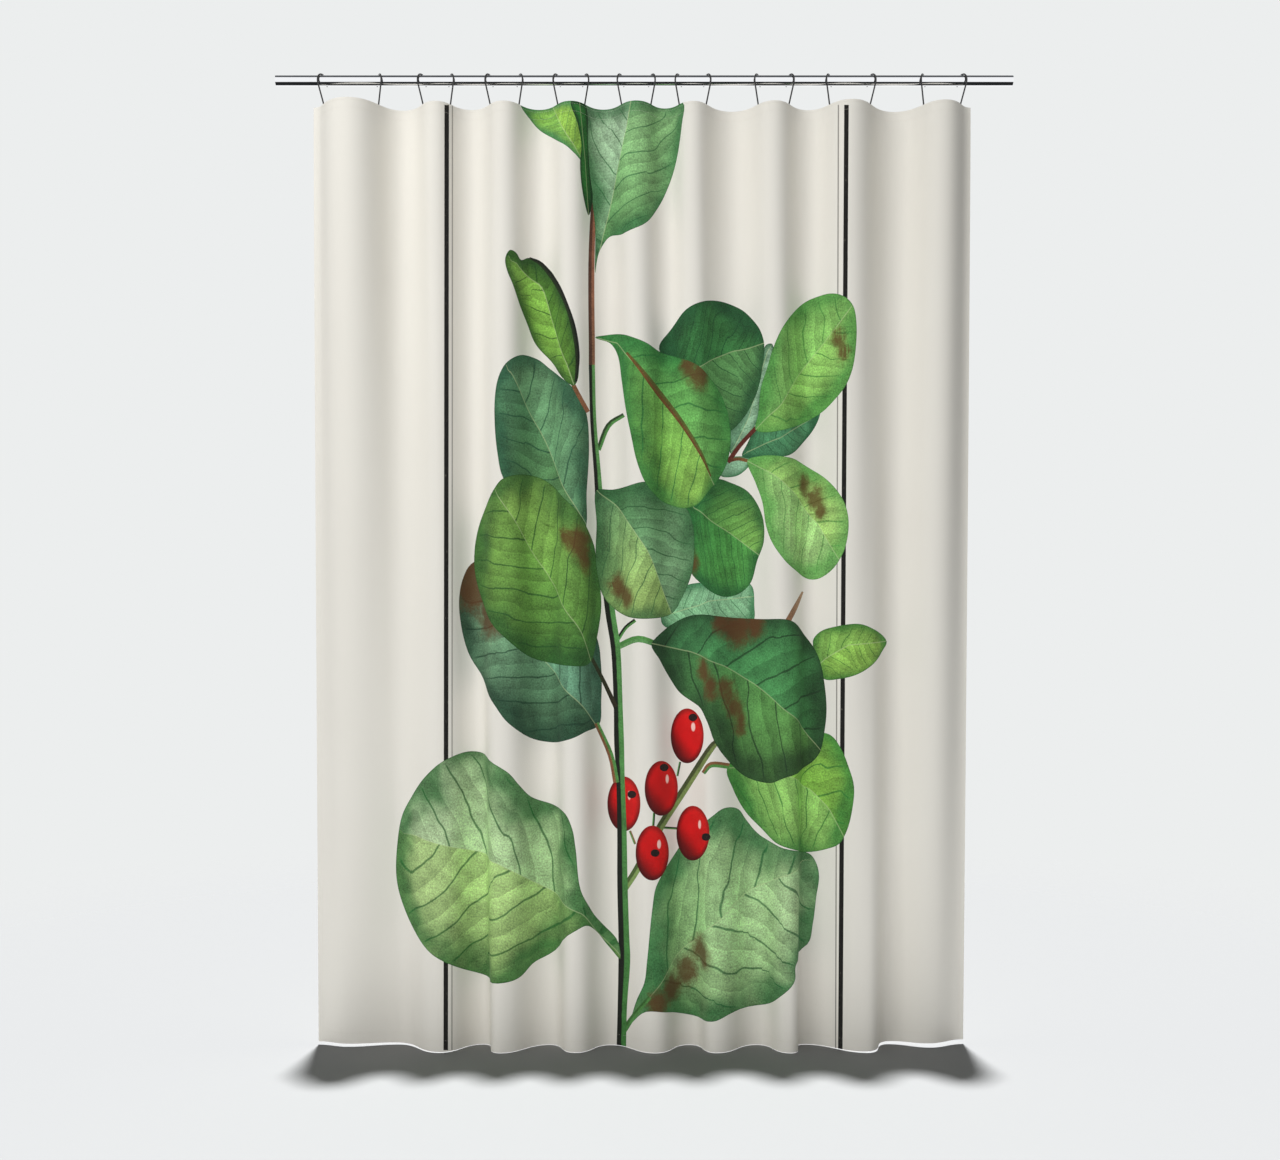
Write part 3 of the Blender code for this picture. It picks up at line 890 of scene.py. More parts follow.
# %% Leaves over the stem
leaf(
    [(74.3, 111.3), (77, 109.4), (81.1, 107.9), (89.1, 108.5), (95.3, 108.8), (101, 109), (102.9, 110.3),
     (105.4, 113.7), (107.5, 117.7), (108.4, 122.1), (108.9, 127.8), (108.4, 132.9), (107.4, 137.1),
     (105, 139.6), (100.1, 142.4), (96.9, 143.5), (93.6, 142.9), (90.4, 141.2), (87.2, 137.8),
     (85.1, 134.6), (83.8, 131), (82.3, 127.8), (80.2, 126.1), (77.5, 124), (75.4, 120.8), (73.6, 117.5),
     (71.8, 114.2)],
    [(71.6, 113.9), (79.8, 115.6), (87.2, 118.7), (93.6, 122.5), (99.3, 127.4), (104.1, 132.3),
     (107.5, 136.3)],
    ((56, 108, 62), (96, 146, 72)), ((72, 140, 84), (58, 118, 66)), (26, 52, 30),
    stains=((90.2, 111, 5.2), (93.8, 110.2, 3.6), (86.6, 110, 3.2), (82.8, 119.5, 3.2), (84.2, 123.6, 3.4),
            (87.6, 123.6, 3.2), (89.4, 127.4, 3.4), (90.6, 131.4, 2.8)),
)
leaf(
    [(93.8, 68.6), (94.4, 65.6), (95, 59.9), (96.3, 55.7), (97.6, 51.4), (99.5, 47.2), (102, 43.8),
     (105.2, 41.3), (109, 40), (112.4, 40.4), (114.5, 42.5), (115.2, 46.1), (115.1, 51), (114.3, 56.1),
     (112.6, 59.9), (109.4, 63.7), (105.6, 66.5), (100.5, 68.6), (96.3, 69.3)],
    [(93.8, 68.8), (99.1, 63.7), (102.4, 58), (107.1, 51.9), (110.9, 47.2), (114.3, 42.6)],
    ((128, 180, 88), (150, 196, 104)), ((104, 160, 84), (138, 188, 100)), (74, 142, 66),
    stains=((111.2, 49, 2.6), (112.4, 52.6, 2.2)),
)
leaf(
    [(92.1, 75.3), (94.8, 74.3), (99.1, 74.3), (102.4, 75.1), (106.3, 77.5), (109.9, 80.2), (112.4, 83.6),
     (113.5, 87.4), (113.3, 91.6), (112.2, 95.2), (110, 98.4), (106.7, 100.4), (103.7, 99.7), (100.5, 96.9),
     (97.6, 93), (96.1, 89.1), (95.3, 84), (93.8, 79.8)],
    [(92.1, 75.3), (97.2, 77.9), (102.4, 82.5), (107.1, 88.7), (111.4, 96)],
    ((134, 184, 104), (166, 204, 134)), ((142, 190, 98), (172, 206, 118)), (92, 160, 78),
    stains=((104, 80.4, 3), (106.4, 83.2, 3.4), (107.6, 86.4, 2.2)),
)
leaf(
    [(60.1, 81.6), (63.7, 81.4), (66.9, 80.6), (71, 79.8), (74, 82), (79.2, 85.3), (80.6, 89.1),
     (80.9, 93.5), (80.4, 99), (78.5, 103.9), (76.2, 107.6), (71.8, 108.7), (67.5, 108.5), (64.6, 107.1),
     (62.2, 104.8), (60.7, 101.6), (60, 95.9), (60.2, 88.7)],
    [(60.3, 81.7), (64.6, 84.9), (67.5, 89.1), (71.3, 94.8), (76, 107.5)],
    ((104, 150, 104), (166, 194, 104)), ((52, 112, 58), (122, 160, 124)), (50, 98, 58),
    stains=((64.9, 101.8, 3.4), (66.6, 104.4, 2.8)),
)
leaf(
    [(38.7, 81), (40.2, 79.2), (43.6, 78.2), (47.6, 78.7), (51, 80.6), (54.4, 84.2), (57.6, 88.3),
     (59.7, 93.3), (60.2, 98), (61, 102.4), (61.2, 106.5), (60.4, 112.2), (59.3, 117.2), (58, 118.6),
     (53.3, 118.6), (48.7, 117.7), (44.2, 115.6), (40.2, 112.2), (37.5, 108.8), (35.8, 104.1),
     (34.5, 99), (34.5, 93.3), (35.6, 88.3), (37.1, 84.3)],
    [(59.1, 118), (56.7, 110.9), (50.4, 100.1), (46.6, 94.6), (38.9, 82)],
    ((84, 138, 58), (134, 172, 84)), ((62, 112, 48), (116, 158, 72)), (40, 88, 40),
    stains=((56.6, 92.6, 4.4), (53.6, 91.4, 2.6), (57.8, 97.4, 2.6)),
)
leaf(
    [(54.4, 59), (51.2, 55), (47.4, 50.8), (45.5, 46.3), (43.8, 41.9), (42.3, 37.5), (41.3, 35.1),
     (40.9, 32.4), (41.9, 30.7), (43.2, 31.3), (44.2, 32.8), (45.9, 32.4), (48.3, 33.4), (51.2, 36),
     (53.1, 40), (54.8, 44), (55.9, 48.5), (56.5, 53.3), (56.2, 58.2), (55.4, 59.4)],
    [(55.4, 59.2), (54, 55), (50.8, 45.7), (48.7, 38.3), (43.8, 34.3)],
    ((78, 118, 42), (60, 104, 40)), ((118, 168, 66), (134, 180, 78)), (34, 76, 32),
)
strip(
    "stem", [(55.8, 58.6), (56.2, 53.3), (55.4, 47.4), (53.8, 42.2), (51.6, 37.6), (48.6, 33.8), (46, 32.4)],
    [0.5, 0.9, 1.0, 0.8, 1.0, 0.9, 0.4], DARK, ((28, 40, 20), (28, 40, 20)),
)
leaf(
    [(44.2, -1), (45.9, 2.8), (48.3, 5.5), (51.2, 7.2), (53.6, 8.5), (55.7, 10.4), (57.4, 12.3),
     (57.8, 9), (57.6, 5.9), (57.2, 2.4), (56.8, -1)],
    [(57.3, 12.2), (54.4, 7), (51, -1)],
    ((134, 176, 70), (142, 184, 78)), ((112, 164, 80), (126, 176, 78)), (56, 122, 76),
)
leaf(
    [(57.8, -1), (78.5, -1), (78.3, 4), (77.5, 9.9), (75.6, 16.9), (73.2, 21.8), (69.9, 25.4),
     (65.8, 27.3), (63.1, 27.9), (61.6, 29.6), (60.5, 32), (59.9, 35.6), (59.9, 26.2), (59.3, 20.5),
     (58.6, 14), (58, 5.9)],
    [(60, 35), (61.6, 27.7), (64.6, 14), (66.5, 5.1), (67.5, -1)],
    ((88, 144, 78), (132, 178, 116)), ((120, 164, 120), (172, 198, 166)), (54, 112, 66),
)
leaf(
    [(54.8, -1), (56.2, 4), (57, 8.5), (56.7, 12.4), (57.3, 18.8), (58.5, 23.4), (59.4, 19.7),
     (58.8, 14.8), (58.4, 8), (57.9, -1)],
    [(58.5, 23.3), (57.8, 12), (56.6, -1)],
    ((22, 64, 28), (40, 104, 44)), ((40, 100, 44), (54, 124, 54)), (16, 48, 24),
)
leaf(
    [(59.9, 49.2), (63.3, 48.6), (66, 48.6), (69.4, 49.7), (73, 51.9), (78.7, 53.8), (82.6, 55.9),
     (85.5, 59.5), (87.5, 63.7), (88.6, 69.4), (88, 75.1), (85.9, 79.4), (83, 83), (80.2, 85.2),
     (76.4, 84.9), (73, 83), (70.7, 80.2), (68.8, 75.6), (67.5, 69.8), (66.3, 63.7), (65.5, 58),
     (64.8, 53.3), (63, 50.4)],
    [(60.5, 49.3), (64.6, 50.4), (68.8, 55.2), (72.6, 60.3), (77.5, 66.5), (81.7, 72.6), (85.1, 80.5)],
    ((66, 138, 68), (140, 184, 82)), ((84, 152, 78), (100, 162, 84)), (44, 116, 56),
    stains=((82.1, 57.2, 4.2), (79.4, 55.6, 3)),
)
strip(
    "stem", [(66.6, 52.4), (69.6, 56), (73.4, 61), (78.2, 67.2), (82.2, 73.6), (84.4, 78.6)],
    [0.5, 0.9, 1.3, 1.1, 0.8, 0.3], ((112, 78, 40), (104, 70, 38)), ((92, 84, 40), (88, 100, 44)),
)
leaf(
    [(33, 136.8), (36.6, 137.4), (41.1, 141), (43.8, 143.9), (46.4, 146.4), (51.2, 148.1), (53.6, 150),
     (55, 153), (55.8, 157.5), (56.9, 166.3), (58.8, 169.9), (61.8, 173.6), (64.8, 177.1), (65.2, 180.7),
     (62.6, 177.8), (60.3, 175), (58, 173.7), (55.4, 175), (50.2, 179.7), (46.8, 181.6), (44.2, 184.4),
     (40.6, 185.8), (37.5, 184.7), (33, 183.1), (27.7, 181.2), (24.4, 178.8), (21, 173.3), (19.1, 168.7),
     (17.9, 163.6), (18, 157), (19.1, 150.3), (21.2, 146.2), (24.1, 142), (27.7, 138.9)],
    [(65, 179.6), (57.2, 171.2), (50.2, 165.9), (39.4, 160.6), (30.5, 157.2), (22, 154.6)],
    ((150, 190, 128), (178, 202, 158)), ((150, 186, 104), (166, 194, 124)), (26, 98, 42),
)
berry(79.4, 133.5, 80.6, 129.6)
berry(73.9, 144.6, 74.5, 140.2)
berry(80.6, 154.1, 83.4, 154.9)
berry(72.0, 158.3, 72.6, 158.3)
print(f"{len(drawing)} printed shapes")

# %% [markdown]
# ## From the hanging drawing to the flat cloth
#
# The drawing is made as the eye sees it, on the plane through the rod. Folds hide part of the
# cloth's width, so each point is moved to the place on the flat cloth that is seen there: guess
# a place, see where it shows, and correct the guess until it shows where it should.


# %% Flatten a point of the drawing
GUESSES = 30
LONGEST_CORRECTION = 20 * MM  # for one guess, so that a fold's turned-away flank can't throw it off


def flatten(points):
    wanted_x = panel_low.x + np.array([p[0] for p in points]) * CM
    wanted_z = panel_high.z - np.array([p[1] for p in points]) * CM
    s = (wanted_x - panel_low.x) * fullness
    t = panel_high.z - wanted_z
    for _ in range(GUESSES):
        place = cloth_point(s, t)
        nearer = EYE.y / (EYE.y - place[:, 1])
        seen_x = EYE.x + (place[:, 0] - EYE.x) * nearer
        seen_z = EYE.z + (place[:, 2] - EYE.z) * nearer
        s = s + np.clip(wanted_x - seen_x, -LONGEST_CORRECTION, LONGEST_CORRECTION) * 0.7
        t = t + (seen_z - wanted_z) * 0.9
    return np.stack([np.clip(s, 0, FLAT_WIDTH), np.clip(t, 0, FLAT_HEIGHT)], axis=-1)


def smooth_outline(points, steps=5):
    """A closed curve through the points, which does not swing out where they lie close."""
    previous, following = np.roll(points, 1, axis=0), np.roll(points, -1, axis=0)
    after = np.roll(points, -2, axis=0)
    gaps = [np.sqrt(np.linalg.norm(b - a, axis=1, keepdims=True)) + 1e-9
            for a, b in ((previous, points), (points, following), (following, after))]
    leave = (points - previous) / gaps[0] - (following - previous) / (gaps[0] + gaps[1])
    leave = (leave + (following - points) / gaps[1]) * gaps[1]
    arrive = (following - points) / gaps[1] - (after - points) / (gaps[1] + gaps[2])
    arrive = (arrive + (after - following) / gaps[2]) * gaps[1]
    curve = []
    for step in range(steps):
        u = step / steps
        part = points * (2 * u**3 - 3 * u**2 + 1) + following * (3 * u**2 - 2 * u**3)
        part = part + leave * (u**3 - 2 * u**2 + u) + arrive * (u**3 - u**2)
        curve.append(part)
    curve = np.stack(curve, axis=1).reshape(-1, 2)
    return np.clip(curve, 0, [FLAT_WIDTH, FLAT_HEIGHT])


for item in drawing:
    flat = flatten(item["outline"])
    flat = smooth_outline(flat) if item["smooth"] else flat
    following = np.roll(flat, -1, axis=0)
    turns_back = (flat[:, 0] * following[:, 1] - flat[:, 1] * following[:, 0]).sum() < 0
    item["flat"] = flat[::-1] if turns_back else flat
    item["flat_line"] = flatten(item["line"]) if len(item["line"]) else item["flat"][:2]
    item["flat_stains"] = [(*flatten([(x, y)])[0], r * CM * fullness) for x, y, r in item["stains"]]

# %% [markdown]
# ## Cutting the cloth into triangles
#
# The cloth is one sheet. A grid of points carries its folds, closer along the rod than down the
# cloth, with extra rows at the header, where the tape lies close behind it. The outlines of the
# drawing are cut into the grid, so that each printed edge is crisp. Delaunay triangulation does
# both at once, and says which outlines each triangle lies inside.

# %% Grid and outlines to triangles
GRID_ACROSS = 290
GRID_DOWN = 76
HEADER_ROWS = 9
rows_down = np.concatenate(
    [
        np.linspace(0, HEADER_HEIGHT, HEADER_ROWS)[:-1],
        np.linspace(HEADER_HEIGHT, FLAT_HEIGHT, GRID_DOWN),
    ]
)
started = []
for row, down in enumerate(rows_down):
    for i in range(GRID_ACROSS + 1):
        shift = 0.5 if row % 2 and 0 < i < GRID_ACROSS else 0
        started.append(((i + shift) * FLAT_WIDTH / GRID_ACROSS, down))
outlines = []
for item in drawing:
    outlines.append(list(range(len(started), len(started) + len(item["flat"]))))
    started += [tuple(point) for point in item["flat"]]
cut = delaunay_2d_cdt([Vector(point) for point in started], [], outlines, 0, 1e-5, True)
flat_points = np.array([tuple(point) for point in cut[0]])
triangles = np.array(cut[2])
topmost = np.array([max(inside) if inside else -1 for inside in cut[5]])
corners_at = flat_points[triangles]
first_edge, second_edge = corners_at[:, 1] - corners_at[:, 0], corners_at[:, 2] - corners_at[:, 0]
turned = first_edge[:, 0] * second_edge[:, 1] - first_edge[:, 1] * second_edge[:, 0]
triangles[turned > 0] = triangles[turned > 0][:, ::-1]
print(f"cloth: {len(flat_points)} points and {len(triangles)} triangles a side")


# %% What each printed corner needs to know
def nearest_on_line(points, line, closed=False):
    """For each point: distance along the line, signed distance from it, and plain distance."""
    ends = np.roll(line, -1, axis=0) if closed else line[1:]
    starts = line if closed else line[:-1]
    run = ends - starts
    length = np.linalg.norm(run, axis=1) + 1e-12
    before = np.concatenate([[0], np.cumsum(length)[:-1]])
    to_point = points[:, None, :] - starts[None, :, :]
    share = np.clip((to_point * run).sum(-1) / length**2, 0, 1)
    gap = to_point - share[..., None] * run
    distance = np.linalg.norm(gap, axis=-1)
    best = distance.argmin(axis=1)
    rows = np.arange(len(points))
    side = run[best, 0] * to_point[rows, best, 1] - run[best, 1] * to_point[rows, best, 0]
    nearest = distance[rows, best]
    return before[best] + share[rows, best] * length[best], np.sign(side) * nearest, nearest


corner_count = triangles.size
printed = {
    name: np.zeros(corner_count) for name in ("along", "across", "edge", "stain", "span", "breadth")
}
tinted = {name: np.tile(np.array(CREAM), (corner_count, 1)) for name in ("ink_a", "ink_b", "ink_rim")}
for number, item in enumerate(drawing):
    rows = np.flatnonzero(topmost == number)
    if not len(rows):
        continue
    corner = (rows[:, None] * 3 + np.arange(3)).ravel()
    places, back = np.unique(triangles[rows].ravel(), return_inverse=True)
    places = flat_points[places]
    line = item["flat_line"]
    along, across, _ = nearest_on_line(places, line)
    edge = nearest_on_line(places, item["flat"], closed=True)[2]
    if item["ink"] == "berry":
        middle = item["flat"].mean(axis=0)
        along, across = (places - middle)[:, 1], (places - middle)[:, 0]
    stain = np.zeros(len(places))
    for x, y, reach in item["flat_stains"]:
        stain = np.maximum(stain, 1 - np.hypot(places[:, 0] - x, places[:, 1] - y) / reach)
    span = np.linalg.norm(np.diff(line, axis=0), axis=1).sum() + 1e-9
    share = (along / span).clip(0, 1)[:, None]
    printed["span"][corner] = span
    printed["breadth"][corner] = edge.max()
    for name, values in (("along", along), ("across", across), ("edge", edge), ("stain", stain)):
        printed[name][corner] = values[back]
    for name, ends in (("ink_a", item["first"]), ("ink_b", item["second"])):
        tinted[name][corner] = ((1 - share) * np.array(ends[0]) + share * np.array(ends[1]))[back]
    tinted["ink_rim"][corner] = item["rim"]

# %% [markdown]
# ## The sheet itself
#
# Two layers half a millimetre apart, joined round the edge, so the cloth has a face and a back.
# The mesh is fine enough for its outline, and its normals are worked out from the folds
# themselves, so the shading stays smooth where the drawing makes long thin triangles.

# %% The two layers as one mesh
INK_NAMES = list(INKS)


def lay_flat(mesh, places):
    """Keep each point's place on the flat piece as the mesh's UV map."""
    flat = mesh.uv_layers.new(name="flat")
    corner = np.zeros(len(mesh.loops), np.int32)
    mesh.loops.foreach_get("vertex_index", corner)
    flat.data.foreach_set("uv", np.asarray(places)[corner].ravel().astype(np.float32))


def sheet_mesh(name):
    s, t = flat_points.T
    middle = cloth_point(s, t)
    out = cloth_frame(s, t)[2]
    count = len(middle)
    points = np.concatenate([middle + out * CLOTH_THICKNESS / 2, middle - out * CLOTH_THICKNESS / 2])
    # A side that only one triangle has is on the border.
    sides = np.concatenate([triangles[:, [0, 1]], triangles[:, [1, 2]], triangles[:, [2, 0]]])
    _, where, times = np.unique(np.sort(sides, axis=1), axis=0, return_index=True, return_counts=True)
    border = sides[where[times == 1]]
    rim = np.concatenate(
        [
            np.stack([border[:, 1], border[:, 0], border[:, 0] + count], axis=1),
            np.stack([border[:, 1], border[:, 0] + count, border[:, 1] + count], axis=1),
        ]
    )
    faces = np.concatenate([triangles, triangles[:, ::-1] + count, rim])
    mesh = bpy.data.meshes.new(name)
    mesh.from_pydata(points.tolist(), [], faces.tolist())

    kinds = np.array([INK_NAMES.index(drawing[i]["ink"]) if i >= 0 else 0 for i in topmost])
    kinds = np.concatenate([kinds, kinds, np.zeros(len(rim), int)])
    mesh.polygons.foreach_set("material_index", kinds.astype(np.int32))
    for ink in INK_NAMES:
        mesh.materials.append(INKS[ink])

    flipped = np.arange(corner_count).reshape(-1, 3)[:, ::-1].ravel()
    for label, values in printed.items():
        made = mesh.attributes.new(label, "FLOAT", "CORNER")
        padded = np.concatenate([values, values[flipped], np.zeros(rim.size)])
        made.data.foreach_set("value", padded.astype(np.float32))
    for label, values in tinted.items():
        made = mesh.attributes.new(label, "FLOAT_COLOR", "CORNER")
        padded = np.concatenate([values, values[flipped], np.tile(np.array(CREAM), (rim.size, 1))])
        made.data.foreach_set("color", padded.ravel().astype(np.float32))
    back = mesh.attributes.new("back", "FLOAT", "FACE")
    is_back = np.concatenate([np.zeros(len(triangles)), np.ones(len(triangles)), np.zeros(len(rim))])
    back.data.foreach_set("value", is_back.astype(np.float32))
    lay_flat(mesh, np.concatenate([flat_points, flat_points]))

    mesh.shade_smooth()
    edge_out = np.cross(points[rim[:, 1]] - points[rim[:, 0]], points[rim[:, 2]] - points[rim[:, 0]])
    edge_out /= np.linalg.norm(edge_out, axis=1, keepdims=True)
    normals = np.concatenate([out, -out])[faces.ravel()]
    normals[-rim.size:] = np.repeat(edge_out, 3, axis=0)
    mesh.normals_split_custom_set(normals.tolist())
    return mesh


def place(name, mesh):
    made = bpy.data.objects.new(name, mesh)
    bpy.context.scene.collection.objects.link(made)
    return made


cloth = place("printed_cloth", sheet_mesh("printed_cloth"))

# Nothing else stands in the floor's sun.
shadow_maker = bpy.data.collections.new("casts the floor shadow")
shadow_maker.objects.link(cloth)
above.light_linking.blocker_collection = shadow_maker
print(f"the sheet has {len(cloth.data.polygons)} faces")

# %% [markdown]
# ## The cloth and what is sewn to it
#
# They all ride on the curtain's body, each with a mesh of its own.


def crumple(piece):
    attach(piece, "curtain")
    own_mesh(piece)


# %% [markdown]
# ## Hems and the heading tape
#
# The cloth is turned to the back and sewn down at its sides and foot. Each hem is a second
# layer that follows the folds just behind the sheet. The tape behind the top edge is woven
# separately and carries the loops.


# %% A band behind the cloth
def band_mesh(name, s_range, t_range, steps, behind, thickness):
    """A closed strip behind the cloth. behind is the gap from the cloth's middle to its face."""
    s = np.linspace(*s_range, steps[0] + 1)
    t = np.linspace(*t_range, steps[1] + 1)
    s, t = [grid.ravel() for grid in np.meshgrid(s, t)]
    middle, out = cloth_point(s, t), cloth_frame(s, t)[2]
    points = np.concatenate([middle - out * behind, middle - out * (behind + thickness)])
    across, count = steps[0] + 1, len(middle)
    faces = []
    for row in range(steps[1]):
        for i in range(steps[0]):
            a, b = row * across + i, (row + 1) * across + i
            faces.append((a, b, b + 1, a + 1))
    faces += [tuple(corner + count for corner in face[::-1]) for face in faces]
    last = steps[1] * across
    border = [(i + 1, i) for i in range(steps[0])]
    border += [(last + i, last + i + 1) for i in range(steps[0])]
    border += [(row * across, (row + 1) * across) for row in range(steps[1])]
    border += [((row + 1) * across + steps[0], row * across + steps[0]) for row in range(steps[1])]
    faces += [(a, a + count, b + count, b) for a, b in border]
    mesh = bpy.data.meshes.new(name)
    mesh.from_pydata(points.tolist(), [], faces)
    lay_flat(mesh, np.tile(np.stack([s, t], axis=-1), (2, 1)))
    mesh.shade_smooth()
    mesh.set_sharp_from_angle(angle=math.radians(50))
    return mesh


# %% Hem cloth and tape webbing
def hem_material():
    material, tree, shader, flat, gaps = cloth_shader("Turned hem")
    inputs = {"Vector": flat, "Scale": 14.0, "Detail": 3.0}
    cloud = add_node(tree, "ShaderNodeTexNoise", inputs).outputs["Fac"]
    colour = mix_colour(tree, cloud, paint(238, 233, 223), paint(228, 223, 212))
    # Painted shade: the hem's colour is made darker in the gaps between its threads, where shade falls.
    colour = mix_colour(tree, maths(tree, "MULTIPLY", gaps, 0.35), colour, paint(204, 198, 186))
    tree.links.new(colour, shader.inputs["Base Color"])
    return material


def tape_material(name):
    """A woven tape: ribs along it."""
    material, tree, shader = new_material(name)
    flat = add_node(tree, "ShaderNodeUVMap", uv_map="flat").outputs["UV"]
    parts = add_node(tree, "ShaderNodeSeparateXYZ", {0: flat}).outputs
    rib = maths(tree, "SINE", maths(tree, "MULTIPLY", parts["Y"], 2 * math.pi / (1.1 * MM)))
    pick = maths(tree, "SINE", maths(tree, "MULTIPLY", parts["X"], 2 * math.pi / (0.7 * MM)))
    height = maths(tree, "ADD", rib, maths(tree, "MULTIPLY", pick, 0.5))
    inputs = {"Strength": 0.45, "Distance": 0.00012, "Height": height}
    bump = add_node(tree, "ShaderNodeBump", inputs)
    tree.links.new(bump.outputs["Normal"], shader.inputs["Normal"])
    # Painted shade: the tape's colour is made darker down in the grooves between its ribs, where shade falls.
    shade = ramp(tree, height, -1.5, 0.6)
    colour = mix_colour(tree, shade, paint(196, 191, 180), paint(238, 235, 227))
    tree.links.new(colour, shader.inputs["Base Color"])
    shader.inputs["Roughness"].default_value = 0.88
    shader.inputs["Sheen Weight"].default_value = 0.2
    return material


HEM = hem_material()
WEBBING = tape_material("Tape webbing")

# %% The four bands
HEM_GAP = 0.35 * MM
HEM_THICKNESS = 0.45 * MM
FOOT_HEM = 25 * MM
SIDE_HEM = 12 * MM
SIDE_HEM_TOP = 24 * MM  # the side hems start below the tape
TAPE_HEIGHT = 20 * MM
TAPE_BELOW_TOP = 3 * MM
TAPE_THICKNESS = 0.6 * MM
TAPE_BEHIND = CLOTH_THICKNESS / 2 + 0.3 * MM
EDGE = 0.6 * MM

side_hem_down = (SIDE_HEM_TOP, FLAT_HEIGHT - FOOT_HEM - MM)
hem_rows = (
    ("foot_hem", (EDGE, FLAT_WIDTH - EDGE), (FLAT_HEIGHT - FOOT_HEM, FLAT_HEIGHT - EDGE), (290, 3)),
    ("left_hem", (EDGE, SIDE_HEM), side_hem_down, (3, 70)),
    ("right_hem", (FLAT_WIDTH - SIDE_HEM, FLAT_WIDTH - EDGE), side_hem_down, (3, 70)),
)
sewn = []
for name, s_range, t_range, steps in hem_rows:
    mesh = band_mesh(name, s_range, t_range, steps, HEM_GAP, HEM_THICKNESS)
    mesh.materials.append(HEM)
    sewn.append(place(name, mesh))
mesh = band_mesh(
    "woven_tape",
    (EDGE, FLAT_WIDTH - EDGE),
    (TAPE_BELOW_TOP, TAPE_BELOW_TOP + TAPE_HEIGHT),
    (360, 3),
    TAPE_BEHIND,
    TAPE_THICKNESS,
)
mesh.materials.append(WEBBING)
tape = place("woven_tape", mesh)
print("hems and tape:", [piece.name for piece in sewn] + [tape.name])

# %% [markdown]
# ## Stitches
#
# A stitch is a short raised thread, repeated thousands of times along a line, which is the work
# of Geometry Nodes: the line becomes evenly spaced points, and one small thread is placed on
# each, turned along the line. The same tree sews every row.


# %% The tree that sews a row
STITCH_PITCH = 3.6 * MM
STITCH_LENGTH = 2.9 * MM
THREAD = 0.35 * MM


def stitch_tree(thread):
    tree = bpy.data.node_groups.new("Row of stitches", "GeometryNodeTree")
    tree.interface.new_socket("Geometry", in_out="INPUT", socket_type="NodeSocketGeometry")
    sizes = (("Pitch", STITCH_PITCH), ("Stitch length", STITCH_LENGTH), ("Thread", THREAD))
    for label, value in sizes:
        tree.interface.new_socket(label, in_out="INPUT", socket_type="NodeSocketFloat").default_value = value
    tree.interface.new_socket("Geometry", in_out="OUTPUT", socket_type="NodeSocketGeometry")
    takes = tree.nodes.new("NodeGroupInput").outputs
    curve = add_node(tree, "GeometryNodeMeshToCurve", {"Mesh": takes["Geometry"]}).outputs["Curve"]
    inputs = {"Curve": curve, "Length": takes["Pitch"]}
    points = add_node(tree, "GeometryNodeCurveToPoints", inputs, mode="LENGTH").outputs
    inputs = {"Vector": points["Tangent"]}
    turn = add_node(tree, "FunctionNodeAlignEulerToVector", inputs, axis="X").outputs["Rotation"]
    inputs = {"Segments": 5, "Rings": 4, "Radius": 0.5}
    stitch = add_node(tree, "GeometryNodeMeshUVSphere", inputs).outputs["Mesh"]
    inputs = {0: takes["Stitch length"], 1: takes["Thread"], 2: takes["Thread"]}
    size = add_node(tree, "ShaderNodeCombineXYZ", inputs).outputs["Vector"]
    inputs = {"Points": points["Points"], "Instance": stitch, "Rotation": turn, "Scale": size}
    placed = add_node(tree, "GeometryNodeInstanceOnPoints", inputs).outputs["Instances"]
    real = add_node(tree, "GeometryNodeRealizeInstances", {"Geometry": placed}).outputs["Geometry"]
    soft = add_node(tree, "GeometryNodeSetShadeSmooth", {"Geometry": real}).outputs["Geometry"]
    inputs = {"Geometry": soft, "Material": thread}
    done = add_node(tree, "GeometryNodeSetMaterial", inputs).outputs["Geometry"]
    tree.links.new(done, tree.nodes.new("NodeGroupOutput").inputs["Geometry"])
    return tree


def thread_material():
    material, tree, shader = new_material("Cream thread")
    where = add_node(tree, "ShaderNodeTexCoord").outputs["Object"]
    inputs = {"Vector": where, "Scale": 900.0, "Detail": 2.0}
    fuzz = add_node(tree, "ShaderNodeTexNoise", inputs).outputs["Fac"]
    colour = mix_colour(tree, fuzz, paint(214, 207, 192), paint(238, 232, 220))
    tree.links.new(colour, shader.inputs["Base Color"])
    shader.inputs["Roughness"].default_value = 0.7
    return material


def applied(piece, tree, inputs):
    """Run a Geometry Nodes tree on a piece and leave its result as a plain mesh."""
    modifier = piece.modifiers.new(tree.name, "NODES")
    modifier.node_group = tree
    sockets = {item.name: item.identifier for item in tree.interface.items_tree if item.in_out == "INPUT"}
    for name, value in inputs.items():
        modifier[sockets[name]] = value
    bpy.context.view_layer.update()
    mesh = bpy.data.meshes.new_from_object(piece.evaluated_get(bpy.context.evaluated_depsgraph_get()))
    piece.modifiers.clear()
    mesh.name = piece.name
    piece.data = mesh
    return piece


# %% The rows: hems, and the tape's two edges, each on the face and on the back
def row_lines(rows):
    """Polylines on the cloth. A row is its two ends on the flat cloth and its height off it."""
    points, edges = [], []
    for start, end, height in rows:
        length = math.dist(start, end)
        steps = int(length / (2.5 * MM))
        share = np.linspace(0, 1, steps + 1)
        s = start[0] + (end[0] - start[0]) * share
        t = start[1] + (end[1] - start[1]) * share
        line = cloth_point(s, t) + cloth_frame(s, t)[2] * height
        edges += [(len(points) + i, len(points) + i + 1) for i in range(steps)]
        points += line.tolist()
    return points, edges


